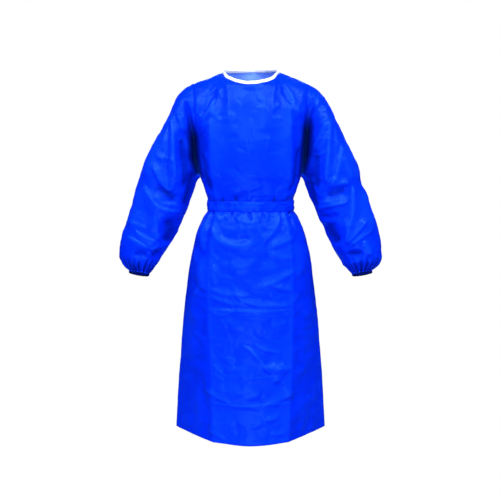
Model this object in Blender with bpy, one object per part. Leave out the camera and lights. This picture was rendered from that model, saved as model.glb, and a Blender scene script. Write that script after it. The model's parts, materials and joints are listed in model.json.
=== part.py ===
"""Long-sleeved disposable gown, hollow and filled out as worn, with its belt tied behind.

Metres, +Z up, the front towards -Y. The origin is the middle of the neck opening, level
with the shoulder seams at the neck, where the wearer's shoulders hold the garment up.
Every cloth panel is a grid of points on the garment's form, given a wall along the
normals that it shares with its neighbours, so that the pieces meet in even seams.
"""

import math

import bpy
import numpy as np

WALL = 0.002          # cloth walls
SEAM_GAP = 0.0003     # between pieces that are sewn together
LAY_GAP = 0.0005      # between a piece and the panel that it lies on

# Cut of the body. Shares run from 0 at the middle of a panel to 1 at its side seam.
HEM_Z = -1.210
ARMPIT = (0.170, 0.0, -0.348)
SHOULDER = (0.190, 0.004, -0.036)
NECK_HALF_WIDTH = 0.0965
NECK_SHARE = 5 / 13       # the neckline ends and the shoulder seam starts
CREASE_SHARE = 7 / 13     # the long crease down the panel
COLUMNS = 13              # cells from the middle to the side seam
NECK = {"front": {"depth": -0.086, "height": -0.045}, "back": {"depth": 0.062, "height": 0.004}}

# Level sections of the body: half width, then depth and crease of the front and of the back,
# and how far the cloth between crease and side seam bows out.
BODY_COLUMNS = ("z", "side", "front", "front_fold", "front_at", "back", "back_fold", "back_at", "bow")
BODY_LEVELS = (
    (-1.210, 0.259, 0.215, 0.121, 0.175, 0.190, 0.123, 0.152, 0.004),
    (-1.100, 0.253, 0.206, 0.125, 0.166, 0.184, 0.126, 0.146, 0.006),
    (-0.950, 0.242, 0.193, 0.130, 0.154, 0.177, 0.130, 0.139, 0.009),
    (-0.800, 0.228, 0.178, 0.134, 0.141, 0.171, 0.133, 0.131, 0.012),
    (-0.700, 0.2165, 0.166, 0.135, 0.131, 0.166, 0.133, 0.125, 0.014),
    (-0.620, 0.204, 0.155, 0.133, 0.122, 0.159, 0.131, 0.117, 0.014),
    (-0.560, 0.190, 0.144, 0.128, 0.111, 0.146, 0.126, 0.105, 0.013),
    (-0.515, 0.1755, 0.132, 0.121, 0.099, 0.126, 0.119, 0.089, 0.012),
    (-0.480, 0.160, 0.120, 0.114, 0.087, 0.106, 0.112, 0.074, 0.011),
    (-0.459, 0.145, 0.111, 0.108, 0.078, 0.092, 0.106, 0.064, 0.010),
    (-0.424, 0.145, 0.111, 0.108, 0.078, 0.092, 0.106, 0.064, 0.010),
    (-0.400, 0.152, 0.117, 0.113, 0.083, 0.097, 0.111, 0.069, 0.010),
    (-0.348, 0.170, 0.129, 0.124, 0.096, 0.109, 0.122, 0.083, 0.010),
)
BODY = dict(zip(BODY_COLUMNS, zip(*BODY_LEVELS)))
UPPER_ROWS = 18           # cells from the armpit up to the shoulder seam
NECK_DROP = 1.2           # how fast the neckline falls towards the middle
SHOULDER_DROP = 1.12      # how fast the shoulder seam falls towards the armhole
OUTWARD_RISE = 0.12       # how far up the cloth still goes where it turns outwards above the armpit
JUST_BELOW = 0.010        # the section that gives the slope at the armpit's level

# How the panels run up from the armpit's level to the neckline and the shoulder seam, by share:
# length of the lower tangent, how far it turns forwards, then length and steepness of the upper one.
RISE = {
    "front": {
        "share":  (0.00, 0.38, 0.54, 0.80, 1.00),
        "low":    (0.105, 0.105, 0.100, 0.080, 0.070),
        "turn":   (0.00, 0.00, 0.02, 0.35, 1.00),
        "top":    (0.085, 0.080, 0.085, 0.092, 0.092),
        "steep":  (68.0, 24.0, 18.0, 16.0, 20.0),
    },
    "back": {
        "share":  (0.00, 0.38, 0.54, 0.80, 1.00),
        "low":    (0.110, 0.110, 0.100, 0.080, 0.066),
        "turn":   (0.00, 0.00, 0.02, 0.35, 1.00),
        "top":    (0.090, 0.085, 0.090, 0.092, 0.088),
        "steep":  (66.0, 24.0, 18.0, 16.0, 20.0),
    },
}

# The back opening: the left back laps over the right back.
LAP_COLUMNS = 3           # columns by which each back runs past the middle
LAP_EASE = 2              # columns over which the upper back comes down beside the lower one

# Sections of the sleeve from the armhole to the cuff: the ends of each section on the sleeve's
# outer and inner line, its depth, how far forward its middle lies, and how far its front edge lifts.
SLEEVE_COLUMNS = ("along", "outer_x", "outer_z", "inner_x", "inner_z", "depth", "middle_y", "lift")
SLEEVE_SECTIONS = (
    (0.00, 0.190, -0.036, 0.170, -0.348, 0.070, 0.002, 0.00),
    (0.06, 0.222, -0.054, 0.1725, -0.350, 0.076, 0.002, 0.00),
    (0.12, 0.248, -0.082, 0.175, -0.3525, 0.081, 0.002, 0.00),
    (0.20, 0.275, -0.136, 0.1775, -0.3565, 0.086, 0.001, 0.00),
    (0.28, 0.302, -0.192, 0.1805, -0.3625, 0.089, 0.000, 0.00),
    (0.36, 0.331, -0.248, 0.184, -0.3705, 0.091, -0.001, 0.00),
    (0.44, 0.357, -0.303, 0.188, -0.381, 0.092, -0.002, 0.00),
    (0.54, 0.384, -0.378, 0.206, -0.428, 0.092, -0.006, 0.02),
    (0.64, 0.407, -0.452, 0.227, -0.479, 0.090, -0.013, 0.05),
    (0.76, 0.429, -0.530, 0.256, -0.542, 0.086, -0.025, 0.10),
    (0.86, 0.441, -0.588, 0.282, -0.592, 0.080, -0.037, 0.16),
    (0.91, 0.441, -0.612, 0.299, -0.6165, 0.073, -0.043, 0.20),
    (0.95, 0.433, -0.632, 0.314, -0.637, 0.063, -0.048, 0.24),
    (0.98, 0.420, -0.647, 0.3285, -0.654, 0.048, -0.053, 0.28),
    (1.00, 0.4035, -0.657, 0.3415, -0.6665, 0.031, -0.057, 0.31),
)
SLEEVE = dict(zip(SLEEVE_COLUMNS, zip(*SLEEVE_SECTIONS)))
SLEEVE_ROWS = 16          # plain cells along the sleeve, above its gathered end
GATHERED_FROM = 0.93      # where along the sleeve the gathers begin
GATHERED_ROWS = 3
ARMHOLE_EASE = 0.30       # over this share of the sleeve the armhole's shape fades out
GATHERS = 18
GATHER_DEPTH = 0.0022
GATHER_UNEVEN = 0.35
CUFF_HEIGHT = 0.009
CUFF_GATHER = 0.75        # the cuff's gathers, as a share of the sleeve's

# The largest folds, as seen from the front: straight troughs and ridges from one place to another.
# A negative depth is a trough. Each fades out round its ends and over its width.
FOLDS = (
    # face,    from x,  from z,   to x,    to z,   width, depth
    ("front", -0.250, -0.115, -0.240, -0.370, 0.026, 0.009),
    ("front", -0.285, -0.165, -0.285, -0.330, 0.030, -0.006),
    ("front", -0.215, -0.150, -0.215, -0.360, 0.028, -0.009),
    ("front", -0.350, -0.370, -0.305, -0.455, 0.024, 0.008),
    ("front", -0.315, -0.455, -0.230, -0.465, 0.022, 0.006),
    ("front", -0.305, -0.395, -0.240, -0.430, 0.026, -0.007),
    ("front", -0.305, -0.495, -0.260, -0.525, 0.030, -0.008),
    ("front", -0.375, -0.605, -0.320, -0.600, 0.022, -0.005),
    ("front", -0.405, -0.550, -0.345, -0.575, 0.018, 0.004),
    ("front", 0.255, -0.135, 0.250, -0.375, 0.026, 0.009),
    ("front", 0.215, -0.160, 0.210, -0.350, 0.028, -0.009),
    ("front", 0.290, -0.180, 0.280, -0.305, 0.028, -0.006),
    ("front", 0.310, -0.255, 0.260, -0.370, 0.022, 0.005),
    ("front", 0.335, -0.365, 0.340, -0.470, 0.024, 0.008),
    ("front", 0.235, -0.445, 0.325, -0.435, 0.022, 0.006),
    ("front", 0.260, -0.405, 0.310, -0.390, 0.024, -0.007),
    ("front", 0.265, -0.490, 0.295, -0.540, 0.030, -0.008),
    ("front", 0.320, -0.585, 0.375, -0.590, 0.022, -0.006),
    ("front", 0.330, -0.550, 0.400, -0.510, 0.020, 0.005),
    ("front", -0.120, -0.060, -0.165, -0.155, 0.022, -0.007),
    ("front", -0.110, -0.095, -0.150, -0.190, 0.022, 0.005),
    ("front", 0.110, -0.060, 0.135, -0.110, 0.022, -0.006),
    ("front", 0.125, -0.090, 0.155, -0.180, 0.024, 0.005),
    ("front", -0.150, -0.495, -0.170, -0.610, 0.026, 0.006),
    ("front", -0.130, -0.490, -0.145, -0.580, 0.022, -0.006),
    ("front", -0.110, -0.525, 0.010, -0.565, 0.030, 0.006),
    ("front", -0.085, -0.495, 0.000, -0.520, 0.026, -0.005),
    ("front", 0.040, -0.545, 0.100, -0.490, 0.026, 0.006),
    ("front", 0.150, -0.500, 0.170, -0.590, 0.026, 0.005),
    ("front", -0.110, -0.655, -0.035, -0.725, 0.030, 0.005),
    ("front", -0.035, -0.725, 0.095, -0.765, 0.028, 0.005),
    ("front", 0.035, -0.695, 0.120, -0.655, 0.028, 0.005),
    ("front", 0.005, -0.900, 0.080, -0.970, 0.032, 0.005),
    ("back", -0.260, -0.130, -0.250, -0.340, 0.028, 0.008),
    ("back", -0.220, -0.170, -0.215, -0.345, 0.028, -0.008),
    ("back", -0.345, -0.380, -0.260, -0.425, 0.026, 0.008),
    ("back", -0.330, -0.445, -0.260, -0.480, 0.026, -0.007),
    ("back", -0.385, -0.560, -0.320, -0.585, 0.024, 0.005),
    ("back", 0.260, -0.145, 0.250, -0.330, 0.028, 0.008),
    ("back", 0.220, -0.165, 0.215, -0.350, 0.028, -0.008),
    ("back", 0.350, -0.395, 0.255, -0.420, 0.026, 0.008),
    ("back", 0.325, -0.430, 0.260, -0.470, 0.026, -0.007),
    ("back", 0.390, -0.545, 0.315, -0.575, 0.024, 0.005),
    ("back", -0.150, -0.120, -0.130, -0.250, 0.026, -0.005),
    ("back", 0.150, -0.110, 0.130, -0.235, 0.026, -0.005),
    ("back", -0.140, -0.495, -0.160, -0.620, 0.026, 0.006),
    ("back", 0.140, -0.495, 0.150, -0.600, 0.026, 0.006),
    ("back", -0.110, -0.530, 0.005, -0.575, 0.030, 0.004),
)
FOLD_SIDE = (0.004, 0.035)   # how far from the side seams' plane a fold starts and is whole
FOLD_BELT = (0.020, 0.050)   # how far from the belt's middle a fold starts and is whole

BELT_TOP = -0.4250
BELT_HEIGHT = 0.033
BELT_EASE = 0.0007        # how far the belt stands off what it goes round
BELT_KNOT = {"width": 0.032, "depth": 0.017, "height": 0.036, "seat": 0.0004, "drop": 0.0011}
BELT_TAILS = {
    "left":  {"x": (0.009, 0.014, 0.030, 0.046), "width": (0.014, 0.020, 0.028, 0.030), "to_z": -0.700},
    "right": {"x": (-0.009, -0.013, -0.026, -0.036), "width": (0.014, 0.020, 0.028, 0.030), "to_z": -0.672},
}
BINDING_HEIGHT = 0.0105
BINDING_WALL = 0.0024
BINDING_PROUD = 0.0003
BINDING_UPRIGHT = 0.40    # how far the binding turns up from the slope of the panel
NECK_KNOT = {"width": 0.012, "depth": 0.009, "height": 0.013, "seat": 0.0010, "drop": 0.0006}
NECK_TAILS = {
    "left":  {"x": (0.004, 0.007, 0.014, 0.019), "width": (0.006, 0.008, 0.010, 0.010), "to_z": -0.138},
    "right": {"x": (-0.004, -0.006, -0.010, -0.012), "width": (0.006, 0.008, 0.010, 0.010), "to_z": -0.115},
}
KNOT_ROWS, KNOT_COLUMNS = 9, 14
KNOT_SQUARE = 0.62        # 1 is an egg, less is squarer
TAIL_STAND = 0.45         # how far out from the back the tails leave their knot, as a share of its depth
TAIL_SETTLE = 0.050       # length over which they come to lie on the back
TAIL_STEPS = (0.0, 0.25, 0.55, 1.0)   # rows of the settling length
TAIL_REACH = 0.110        # the back's columns this near the middle carry the tails
TAIL_POINTS = 4           # points across a tail
TAIL_CLEAR = 0.006        # the least height between two rows of a tail at its ends
TAPE_WALL = 0.0015

SAME_PLACE = 0.00001      # points nearer than this are one point of a seam

COLOURS = {"cloth": (0.0, 0.033, 0.95), "binding": (0.84, 0.86, 0.88)}


def smooth(x, xs, ys):
    """A curve through (xs, ys) with no overshoot: cubic pieces whose slopes follow their neighbours'."""
    xs, ys, x = (np.asarray(v, float) for v in (xs, ys, x))
    step = np.diff(xs)
    slope = np.diff(ys) / step
    near, far = 2 * step[1:] + step[:-1], step[1:] + 2 * step[:-1]
    same = slope[:-1] * slope[1:] > 0
    safe = np.where(same, slope[:-1] * slope[1:], 1.0)
    inner = (near + far) * safe / np.where(same, near * slope[1:] + far * slope[:-1], 1.0)
    ends = np.concatenate([slope[:1], np.where(same, inner, 0.0), slope[-1:]])
    k = np.clip(np.searchsorted(xs, x, side="right") - 1, 0, len(xs) - 2)
    t = (np.clip(x, xs[0], xs[-1]) - xs[k]) / step[k]
    return (
        ys[k] * (1 + 2 * t) * (1 - t) ** 2
        + step[k] * ends[k] * t * (1 - t) ** 2
        + ys[k + 1] * t**2 * (3 - 2 * t)
        + step[k] * ends[k + 1] * t**2 * (t - 1)
    )


def ramp(x, start, end):
    """0 before start, 1 after end, and a soft step between them."""
    t = np.clip((np.asarray(x, float) - start) / (end - start), 0, 1)
    return t * t * (3 - 2 * t)


def unit(v):
    return v / np.maximum(np.linalg.norm(v, axis=-1, keepdims=True), 1e-12)


def level_section(z, share, face):
    """A point of the body below the armpit: an arc over the middle, then one from the crease to the side."""
    z, share = np.broadcast_arrays(np.asarray(z, float), np.asarray(share, float))
    side, bow = smooth(z, BODY["z"], BODY["side"]), smooth(z, BODY["z"], BODY["bow"])
    depth = smooth(z, BODY["z"], BODY[face])
    fold_x = smooth(z, BODY["z"], BODY[face + "_fold"])
    fold_y = smooth(z, BODY["z"], BODY[face + "_at"])
    s = np.abs(share)
    a = np.clip(s / CREASE_SHARE, 0, 1)
    b = np.clip((s - CREASE_SHARE) / (1 - CREASE_SHARE), 0, 1)
    chord = np.hypot(side - fold_x, fold_y)
    out = 4 * bow * b * (1 - b) / chord
    x = fold_x * a + (side - fold_x) * b + out * fold_y
    y = depth - (depth - fold_y) * a**2 - fold_y * b + out * (side - fold_x)
    sign = -1.0 if face == "front" else 1.0
    return np.stack([np.where(share < 0, -x, x), sign * y, z], axis=-1)


def top_edge(share, face):
    """The neckline, an arc from the middle to the shoulder seam, and then the seam down to the armhole."""
    share = np.asarray(share, float)
    s = np.abs(share)
    angle = np.clip(s / NECK_SHARE, 0, 1) * math.pi / 2
    k = np.clip((s - NECK_SHARE) / (1 - NECK_SHARE), 0, 1)
    neck = NECK[face]
    x = NECK_HALF_WIDTH * np.sin(angle) + (SHOULDER[0] - NECK_HALF_WIDTH) * k
    y = neck["depth"] * np.cos(angle) + SHOULDER[1] * k
    z = neck["height"] * np.cos(angle) ** NECK_DROP + SHOULDER[2] * k ** SHOULDER_DROP
    return np.stack([np.where(share < 0, -x, x), y, z], axis=-1)


def upper_body(rise, share, face):
    """A point above the armpit: a cubic curve from the armpit's level, rise 0, to the top edge, rise 1."""
    rise, share = np.broadcast_arrays(np.asarray(rise, float), np.asarray(share, float))
    s, shape = np.abs(share), RISE[face]
    low, turn, top, steep = (smooth(s, shape["share"], shape[n]) for n in ("low", "turn", "top", "steep"))
    sign = -1.0 if face == "front" else 1.0
    base = level_section(np.full(s.shape, ARMPIT[2]), share, face)
    below = level_section(np.full(s.shape, ARMPIT[2] - JUST_BELOW), share, face)
    up = unit(base - below)
    out = np.stack([np.zeros_like(s), np.full_like(s, sign), np.full_like(s, OUTWARD_RISE)], axis=-1)
    start = base + (unit(up * (1 - turn[..., None]) + out * turn[..., None])) * low[..., None]
    end = top_edge(share, face)
    angle = np.radians(steep)
    lean = np.stack([np.zeros_like(s), sign * np.cos(angle), -np.sin(angle)], axis=-1)
    before = end + lean * top[..., None]
    t = rise[..., None]
    return base * (1 - t) ** 3 + start * 3 * t * (1 - t) ** 2 + before * 3 * t**2 * (1 - t) + end * t**3


def body_rows():
    """The rows of a body panel: heights below the armpit, then shares of the way up to the top edge."""
    heights = (HEM_Z, -1.110, -1.010, -0.910, -0.815, -0.730, -0.660, -0.605, -0.555, -0.515, -0.482,
               BELT_TOP - BELT_HEIGHT, -0.4415, BELT_TOP, -0.400, -0.374)
    return heights, np.linspace(0, 1, UPPER_ROWS + 1)


def body_grid(shares, face):
    """The panel's points, one row for each height from the hem up and one column for each share."""
    heights, rises = body_rows()
    lower = [level_section(np.full(len(shares), z), shares, face) for z in heights]
    upper = [upper_body(np.full(len(shares), r), shares, face) for r in rises]
    return np.array(lower + upper)


def front_shares():
    return np.linspace(-1, 1, 2 * COLUMNS + 1)


def back_shares():
    """From past the middle to the side seam of the back on +X. The other back is its mirror image."""
    return np.arange(-LAP_COLUMNS, COLUMNS + 1) / COLUMNS


def mirrored(grid):
    """The same piece on the other side, with its columns turned round so that it still faces out."""
    return (grid * (-1, 1, 1))[:, ::-1]


def armhole(count):
    """The ring round the left armhole, from the shoulder seam down the front to the armpit and up the back."""
    rise = np.linspace(1, 0, count // 2 + 1)
    front = upper_body(rise, np.ones_like(rise), "front")
    back = upper_body(rise[::-1], np.ones_like(rise), "back")
    return np.concatenate([front, back[1:]])


def sleeve_section(along, angle):
    """A ring of the sleeve: an ellipse between its outer line, at angle 0, and its inner line, front first."""
    at = {name: smooth(along, SLEEVE["along"], SLEEVE[name]) for name in SLEEVE if name != "along"}
    outer, inner = np.array([at["outer_x"], at["outer_z"]]), np.array([at["inner_x"], at["inner_z"]])
    middle, reach = (outer + inner) / 2, (outer - inner) / 2
    across, deep = np.cos(angle), np.sin(angle)
    x = middle[0] + reach[0] * across
    z = middle[1] + reach[1] * across + at["lift"] * at["depth"] * deep
    y = at["middle_y"] - at["depth"] * deep
    return np.stack([x, y, z], axis=-1)


def sleeve_ring(along, count):
    """A ring of the left sleeve that starts as the armhole and turns into the sleeve's own section."""
    angle = np.linspace(0, 2 * math.pi, count + 1)
    ring = sleeve_section(along, angle)
    fade = 1 - ramp(along, 0, ARMHOLE_EASE)
    if fade > 0:
        ring += (armhole(count) - sleeve_section(0.0, angle)) * fade
    return ring


def fold_height(points):
    """How far the folds lift each point off the plain form."""
    total = np.zeros(points.shape[:-1])
    for face, x0, z0, x1, z1, width, depth in FOLDS:
        start, run = np.array([x0, z0]), np.array([x1 - x0, z1 - z0])
        place = points[..., [0, 2]] - start
        along = np.clip(place @ run / (run @ run), 0, 1)
        away = np.linalg.norm(place - along[..., None] * run, axis=-1)
        outward = points[..., 1] * (-1.0 if face == "front" else 1.0)
        total += depth * np.clip(1 - (away / width) ** 2, 0, 1) ** 2 * ramp(outward, *FOLD_SIDE)
    return total * ramp(np.abs(points[..., 2] - BELT_TOP + BELT_HEIGHT / 2), *FOLD_BELT)


def gathered(ring, share):
    """The ring pushed in and out by its gathers, of uneven depth, at this share of their full depth."""
    angle = np.linspace(0, 2 * math.pi, len(ring))
    wave = np.cos(GATHERS * angle) * (1 - GATHER_UNEVEN * np.sin(5 * angle + 1) ** 2)
    middle = ring[:-1].mean(axis=0)
    return ring + unit(ring - middle) * (GATHER_DEPTH * share * wave)[:, None]


def sleeve_grid():
    """The left sleeve: plain rings from the armhole, then rings with gathers that deepen towards the cuff."""
    count = 2 * UPPER_ROWS
    plain = np.linspace(0, GATHERED_FROM, SLEEVE_ROWS + 1)
    tight = np.linspace(GATHERED_FROM, 1, GATHERED_ROWS + 1)[1:]
    ends = [gathered(sleeve_ring(a, count), ramp(a, GATHERED_FROM - 0.01, 1)) for a in tight]
    return np.array([sleeve_ring(a, count) for a in plain] + ends)


def cuff_grid():
    """The left cuff: the sleeve's last ring carried on square to itself, with shallower gathers below."""
    ring = sleeve_ring(1.0, 2 * UPPER_ROWS)
    half, quarter = UPPER_ROWS, UPPER_ROWS // 2
    onward = unit(np.cross(ring[half] - ring[0], ring[quarter] - ring[quarter + half]))
    onward *= np.sign(-onward[2])
    rings = ((0.0, 1.0), (CUFF_HEIGHT / 2, CUFF_GATHER), (CUFF_HEIGHT, CUFF_GATHER))
    return np.array([gathered(ring, share) + onward * start for start, share in rings])


def grid_faces(grid):
    """Triangles of a grid of points, facing the side from which its rows go up and its columns go right.

    Each cell is split along its shorter diagonal, so that layers and mirror images are split alike.
    """
    rows, columns = grid.shape[:2]
    k = np.arange(rows * columns).reshape(rows, columns)
    a, b, c, d = k[:-1, :-1].ravel(), k[:-1, 1:].ravel(), k[1:, 1:].ravel(), k[1:, :-1].ravel()
    points = grid.reshape(-1, 3)
    rising = np.linalg.norm(points[c] - points[a], axis=-1)
    falling = np.linalg.norm(points[d] - points[b], axis=-1)
    split = (rising < falling)[:, None]
    first = np.where(split, np.stack([a, b, c], -1), np.stack([a, b, d], -1))
    second = np.where(split, np.stack([a, c, d], -1), np.stack([b, c, d], -1))
    return np.concatenate([first, second])


def shared_normals(grids):
    """Normals at every point of these grids. Points that two grids share get one, so that seams match."""
    grids = list(grids)
    points = np.concatenate([g.reshape(-1, 3) for g in grids])
    starts = np.cumsum([0] + [g.shape[0] * g.shape[1] for g in grids])
    faces = np.concatenate([grid_faces(g) + start for g, start in zip(grids, starts)])
    edges = points[np.roll(faces, -1, axis=1)] - points[faces]
    flat = unit(np.cross(edges[:, 0], edges[:, 1]))
    before = -np.roll(edges, 1, axis=1)
    corner = np.arccos(np.clip(np.sum(unit(edges) * unit(before), axis=-1), -1, 1))
    _, same = np.unique(np.round(points / SAME_PLACE + 0.137), axis=0, return_inverse=True)
    same = same.reshape(-1)
    total = np.zeros((same.max() + 1, 3))
    for k in range(3):
        np.add.at(total, same[faces[:, k]], flat * corner[:, k, None])
    normals = unit(total)[same]
    return [normals[a:b].reshape(g.shape) for g, a, b in zip(grids, starts, starts[1:])]


def drawn_in(grid, normals, edges):
    """The grid with these edges moved half a seam gap into the piece, square to the seam and the normal."""
    grid = grid.copy()
    inside = {"bottom": (0, 1, 0), "top": (-1, -2, 0), "first": (0, 1, 1), "last": (-1, -2, 1)}
    moves = []
    for edge in edges:
        at, next_to, axis = inside[edge]
        line, inner = np.take(grid, at, axis=axis), np.take(grid, next_to, axis=axis)
        normal = np.take(normals, at, axis=axis)
        seam = np.gradient(line, axis=0)
        if np.allclose(line[0], line[-1], atol=1e-7):
            seam[0] = seam[-1] = line[1] - line[-2]
        square = unit(np.cross(seam, normal))
        square *= np.sign(np.sum(square * (inner - line), axis=-1, keepdims=True))
        moves.append((at, axis, square * SEAM_GAP / 2))
    for at, axis, move in moves:
        if axis == 0:
            grid[at] += move
        else:
            grid[:, at] += move
    return grid


def wall_mesh(outer, inner, faces):
    """Points and triangles of a wall: a skin, the same skin turned round inside it, and a rim along the edges.

    The rim is split along shorter diagonals too, so that the rims of two sewn pieces stay an even gap apart.
    """
    back = len(outer)
    sides = np.concatenate([faces[:, [0, 1]], faces[:, [1, 2]], faces[:, [2, 0]]])
    key = np.sort(sides, axis=1)
    _, first, count = np.unique(key, axis=0, return_index=True, return_counts=True)
    rim = sides[first[count == 1]]
    a, b = rim[:, 0], rim[:, 1]
    falling = np.linalg.norm(outer[b] - inner[a], axis=-1)
    rising = np.linalg.norm(outer[a] - inner[b], axis=-1)
    split = (falling < rising)[:, None]
    upper = np.where(split, np.stack([b, a, a + back], -1), np.stack([b, a, b + back], -1))
    lower = np.where(split, np.stack([b, a + back, b + back], -1), np.stack([a, a + back, b + back], -1))
    return np.concatenate([outer, inner]), np.concatenate([faces, faces[:, ::-1] + back, upper, lower])


def closed_ring(grid_shape, faces):
    """The faces of a grid whose last column stands on its first one, joined to it."""
    columns = grid_shape[1]
    joined = np.where(faces % columns == columns - 1, faces - (columns - 1), faces)
    used, renumbered = np.unique(joined, return_inverse=True)
    return used, renumbered.reshape(-1, 3)


def add_piece(name, points, faces, finish):
    """One cloth piece as a mesh object of its own."""
    mesh = bpy.data.meshes.new(name)
    mesh.from_pydata([tuple(p) for p in points], [], [tuple(int(i) for i in f) for f in faces])
    mesh.materials.append(finish)
    mesh.update()
    mesh.shade_smooth()
    piece = bpy.data.objects.new(name, mesh)
    bpy.data.collections["gown"].objects.link(piece)
    return piece


def add_wall(name, outer, normals, finish, thickness=WALL, closed=False):
    """A wall of even thickness inside this grid. A closed one is a ring."""
    faces = grid_faces(outer)
    points, inner = outer.reshape(-1, 3), (outer - normals * thickness).reshape(-1, 3)
    if closed:
        used, faces = closed_ring(outer.shape, faces)
        points, inner = points[used], inner[used]
    return add_piece(name, *wall_mesh(points, inner, faces), finish)


def add_material(name, colour, roughness):
    material = bpy.data.materials.new(name)
    material.use_nodes = True
    shader = material.node_tree.nodes["Principled BSDF"]
    shader.inputs["Base Color"].default_value = (*colour, 1.0)
    shader.inputs["Roughness"].default_value = roughness
    return material


def lap_lift(shares):
    """How far the cloth over the lap stands off the form: a wall and a gap, and nothing past the ease."""
    column = np.abs(np.asarray(shares)) * COLUMNS
    return (WALL + LAY_GAP) * (1 - ramp(column, LAP_COLUMNS, LAP_COLUMNS + LAP_EASE))


def build_body(cloth):
    """Front, backs, sleeves and cuffs, whose seams get shared normals. Returns the body's three panels."""
    left_back = body_grid(back_shares(), "back")[:, ::-1]
    plain = {
        "front": body_grid(front_shares(), "front"),
        "back_left": left_back,
        "sleeve_left": sleeve_grid(),
        "cuff_left": cuff_grid(),
    }
    for name in ("back", "sleeve", "cuff"):
        plain[name + "_right"] = mirrored(plain[name + "_left"])
    even = dict(zip(plain, shared_normals(plain.values())))
    grids = {name: grid + even[name] * fold_height(grid)[..., None] for name, grid in plain.items()}
    normals = dict(zip(grids, shared_normals(grids.values())))
    seams = {"front": ("first", "last", "top"), "back_left": ("first", "top"), "back_right": ("last", "top")}
    lap = normals["back_left"] * lap_lift(back_shares()[::-1])[None, :, None]
    for name, grid in grids.items():
        tube = name.startswith(("sleeve", "cuff"))
        ends = ("bottom",) if name.startswith("cuff") else ("bottom", "top")
        sewn = drawn_in(grid, normals[name], ends if tube else seams[name])
        if name == "back_left":
            sewn = sewn + lap
        add_wall(name, sewn, normals[name], cloth, closed=tube)
    grids["back_left"] = grids["back_left"] + lap
    return [(grids[name], normals[name]) for name in ("front", "back_left", "back_right")]


def neckline(front, left_back, right_back):
    """Points and normals along the top edge, from the left back's edge round the front to the right back's."""
    across = round(NECK_SHARE * COLUMNS)
    lap_edge, neck_point = COLUMNS + LAP_COLUMNS, COLUMNS - across
    columns = (
        (left_back, np.arange(lap_edge, neck_point - 1, -1)),
        (front, np.arange(COLUMNS + across - 1, COLUMNS - across - 1, -1)),
        (right_back, np.arange(LAP_COLUMNS + across - 1, -1, -1)),
    )
    return (np.concatenate([panel[k][-1][at] for panel, at in columns]) for k in (0, 1))


def build_binding(panels, finish):
    """The band along the neckline. Its ends pass each other over the lap. Returns the middle of its back."""
    line, slope = neckline(*panels)
    along = unit(np.gradient(line, axis=0))
    inward = unit(np.cross(along, slope))
    up = unit(inward * (1 - BINDING_UPRIGHT) + np.array([0, 0, BINDING_UPRIGHT]))
    out = unit(np.cross(up, along))
    base = line + out * BINDING_PROUD + up * SEAM_GAP
    grid = np.array([base, base + up * BINDING_HEIGHT / 2, base + up * BINDING_HEIGHT])
    normals = np.array([out, out, out])
    add_wall("neck_binding", grid[:, ::-1], normals[:, ::-1], finish, BINDING_WALL)
    return grid[1][LAP_COLUMNS], out[LAP_COLUMNS]


def build_belt(finish):
    """The belt: a band round the waist that clears the lap. Returns the middle of its back."""
    heights = np.array([BELT_TOP - BELT_HEIGHT, BELT_TOP - BELT_HEIGHT / 2, BELT_TOP])
    shares = front_shares()
    rings = []
    for z in heights:
        front = level_section(np.full(len(shares), z), shares, "front")
        back = level_section(np.full(len(shares), z), shares[::-1], "back")
        rings.append(np.concatenate([front, back[1:]]))
    base = np.array(rings)
    normals = shared_normals([base])[0]
    lift = np.concatenate([np.zeros(len(shares)), lap_lift(shares)[1:]])
    grid = base + normals * (lift + BELT_EASE + WALL)[None, :, None]
    add_wall("belt", grid, normals, finish, closed=True)
    middle = len(shares) - 1 + COLUMNS
    return grid[1][middle], normals[1][middle]


def build_knot(name, at, out, size, finish):
    """A rounded knot that lies on this point of a band."""
    centre = at + np.array([0.0, 1.0, 0.0]) * size["depth"] / 2 + out * size["seat"]
    tilt = np.linspace(-math.pi / 2, math.pi / 2, KNOT_ROWS)[1:-1, None]
    turn = np.linspace(0, 2 * math.pi, KNOT_COLUMNS, endpoint=False)[None]
    power = lambda v: np.sign(v) * np.abs(v) ** KNOT_SQUARE
    x = size["width"] / 2 * power(np.cos(tilt)) * power(np.cos(turn))
    y = size["depth"] / 2 * power(np.cos(tilt)) * power(np.sin(turn))
    z = size["height"] / 2 * power(np.sin(tilt)) * np.ones_like(turn)
    skin = np.stack([x, y, z], axis=-1).reshape(-1, 3)
    ends = np.array([[0, 0, -size["height"] / 2], [0, 0, size["height"] / 2]])
    k = np.arange(len(skin)).reshape(KNOT_ROWS - 2, KNOT_COLUMNS)
    right = np.roll(k, -1, axis=1)
    faces = [np.stack([k[:-1], right[:-1], right[1:]], -1), np.stack([k[:-1], right[1:], k[1:]], -1)]
    bottom, top = len(skin), len(skin) + 1
    faces.append(np.stack([right[0], k[0], np.full(KNOT_COLUMNS, bottom)], -1))
    faces.append(np.stack([k[-1], right[-1], np.full(KNOT_COLUMNS, top)], -1))
    faces = np.concatenate([f.reshape(-1, 3) for f in faces])
    add_piece(name, np.concatenate([skin, ends]) + centre, faces, finish)
    return centre[2] - size["height"] / 2 - size["drop"]


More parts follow.
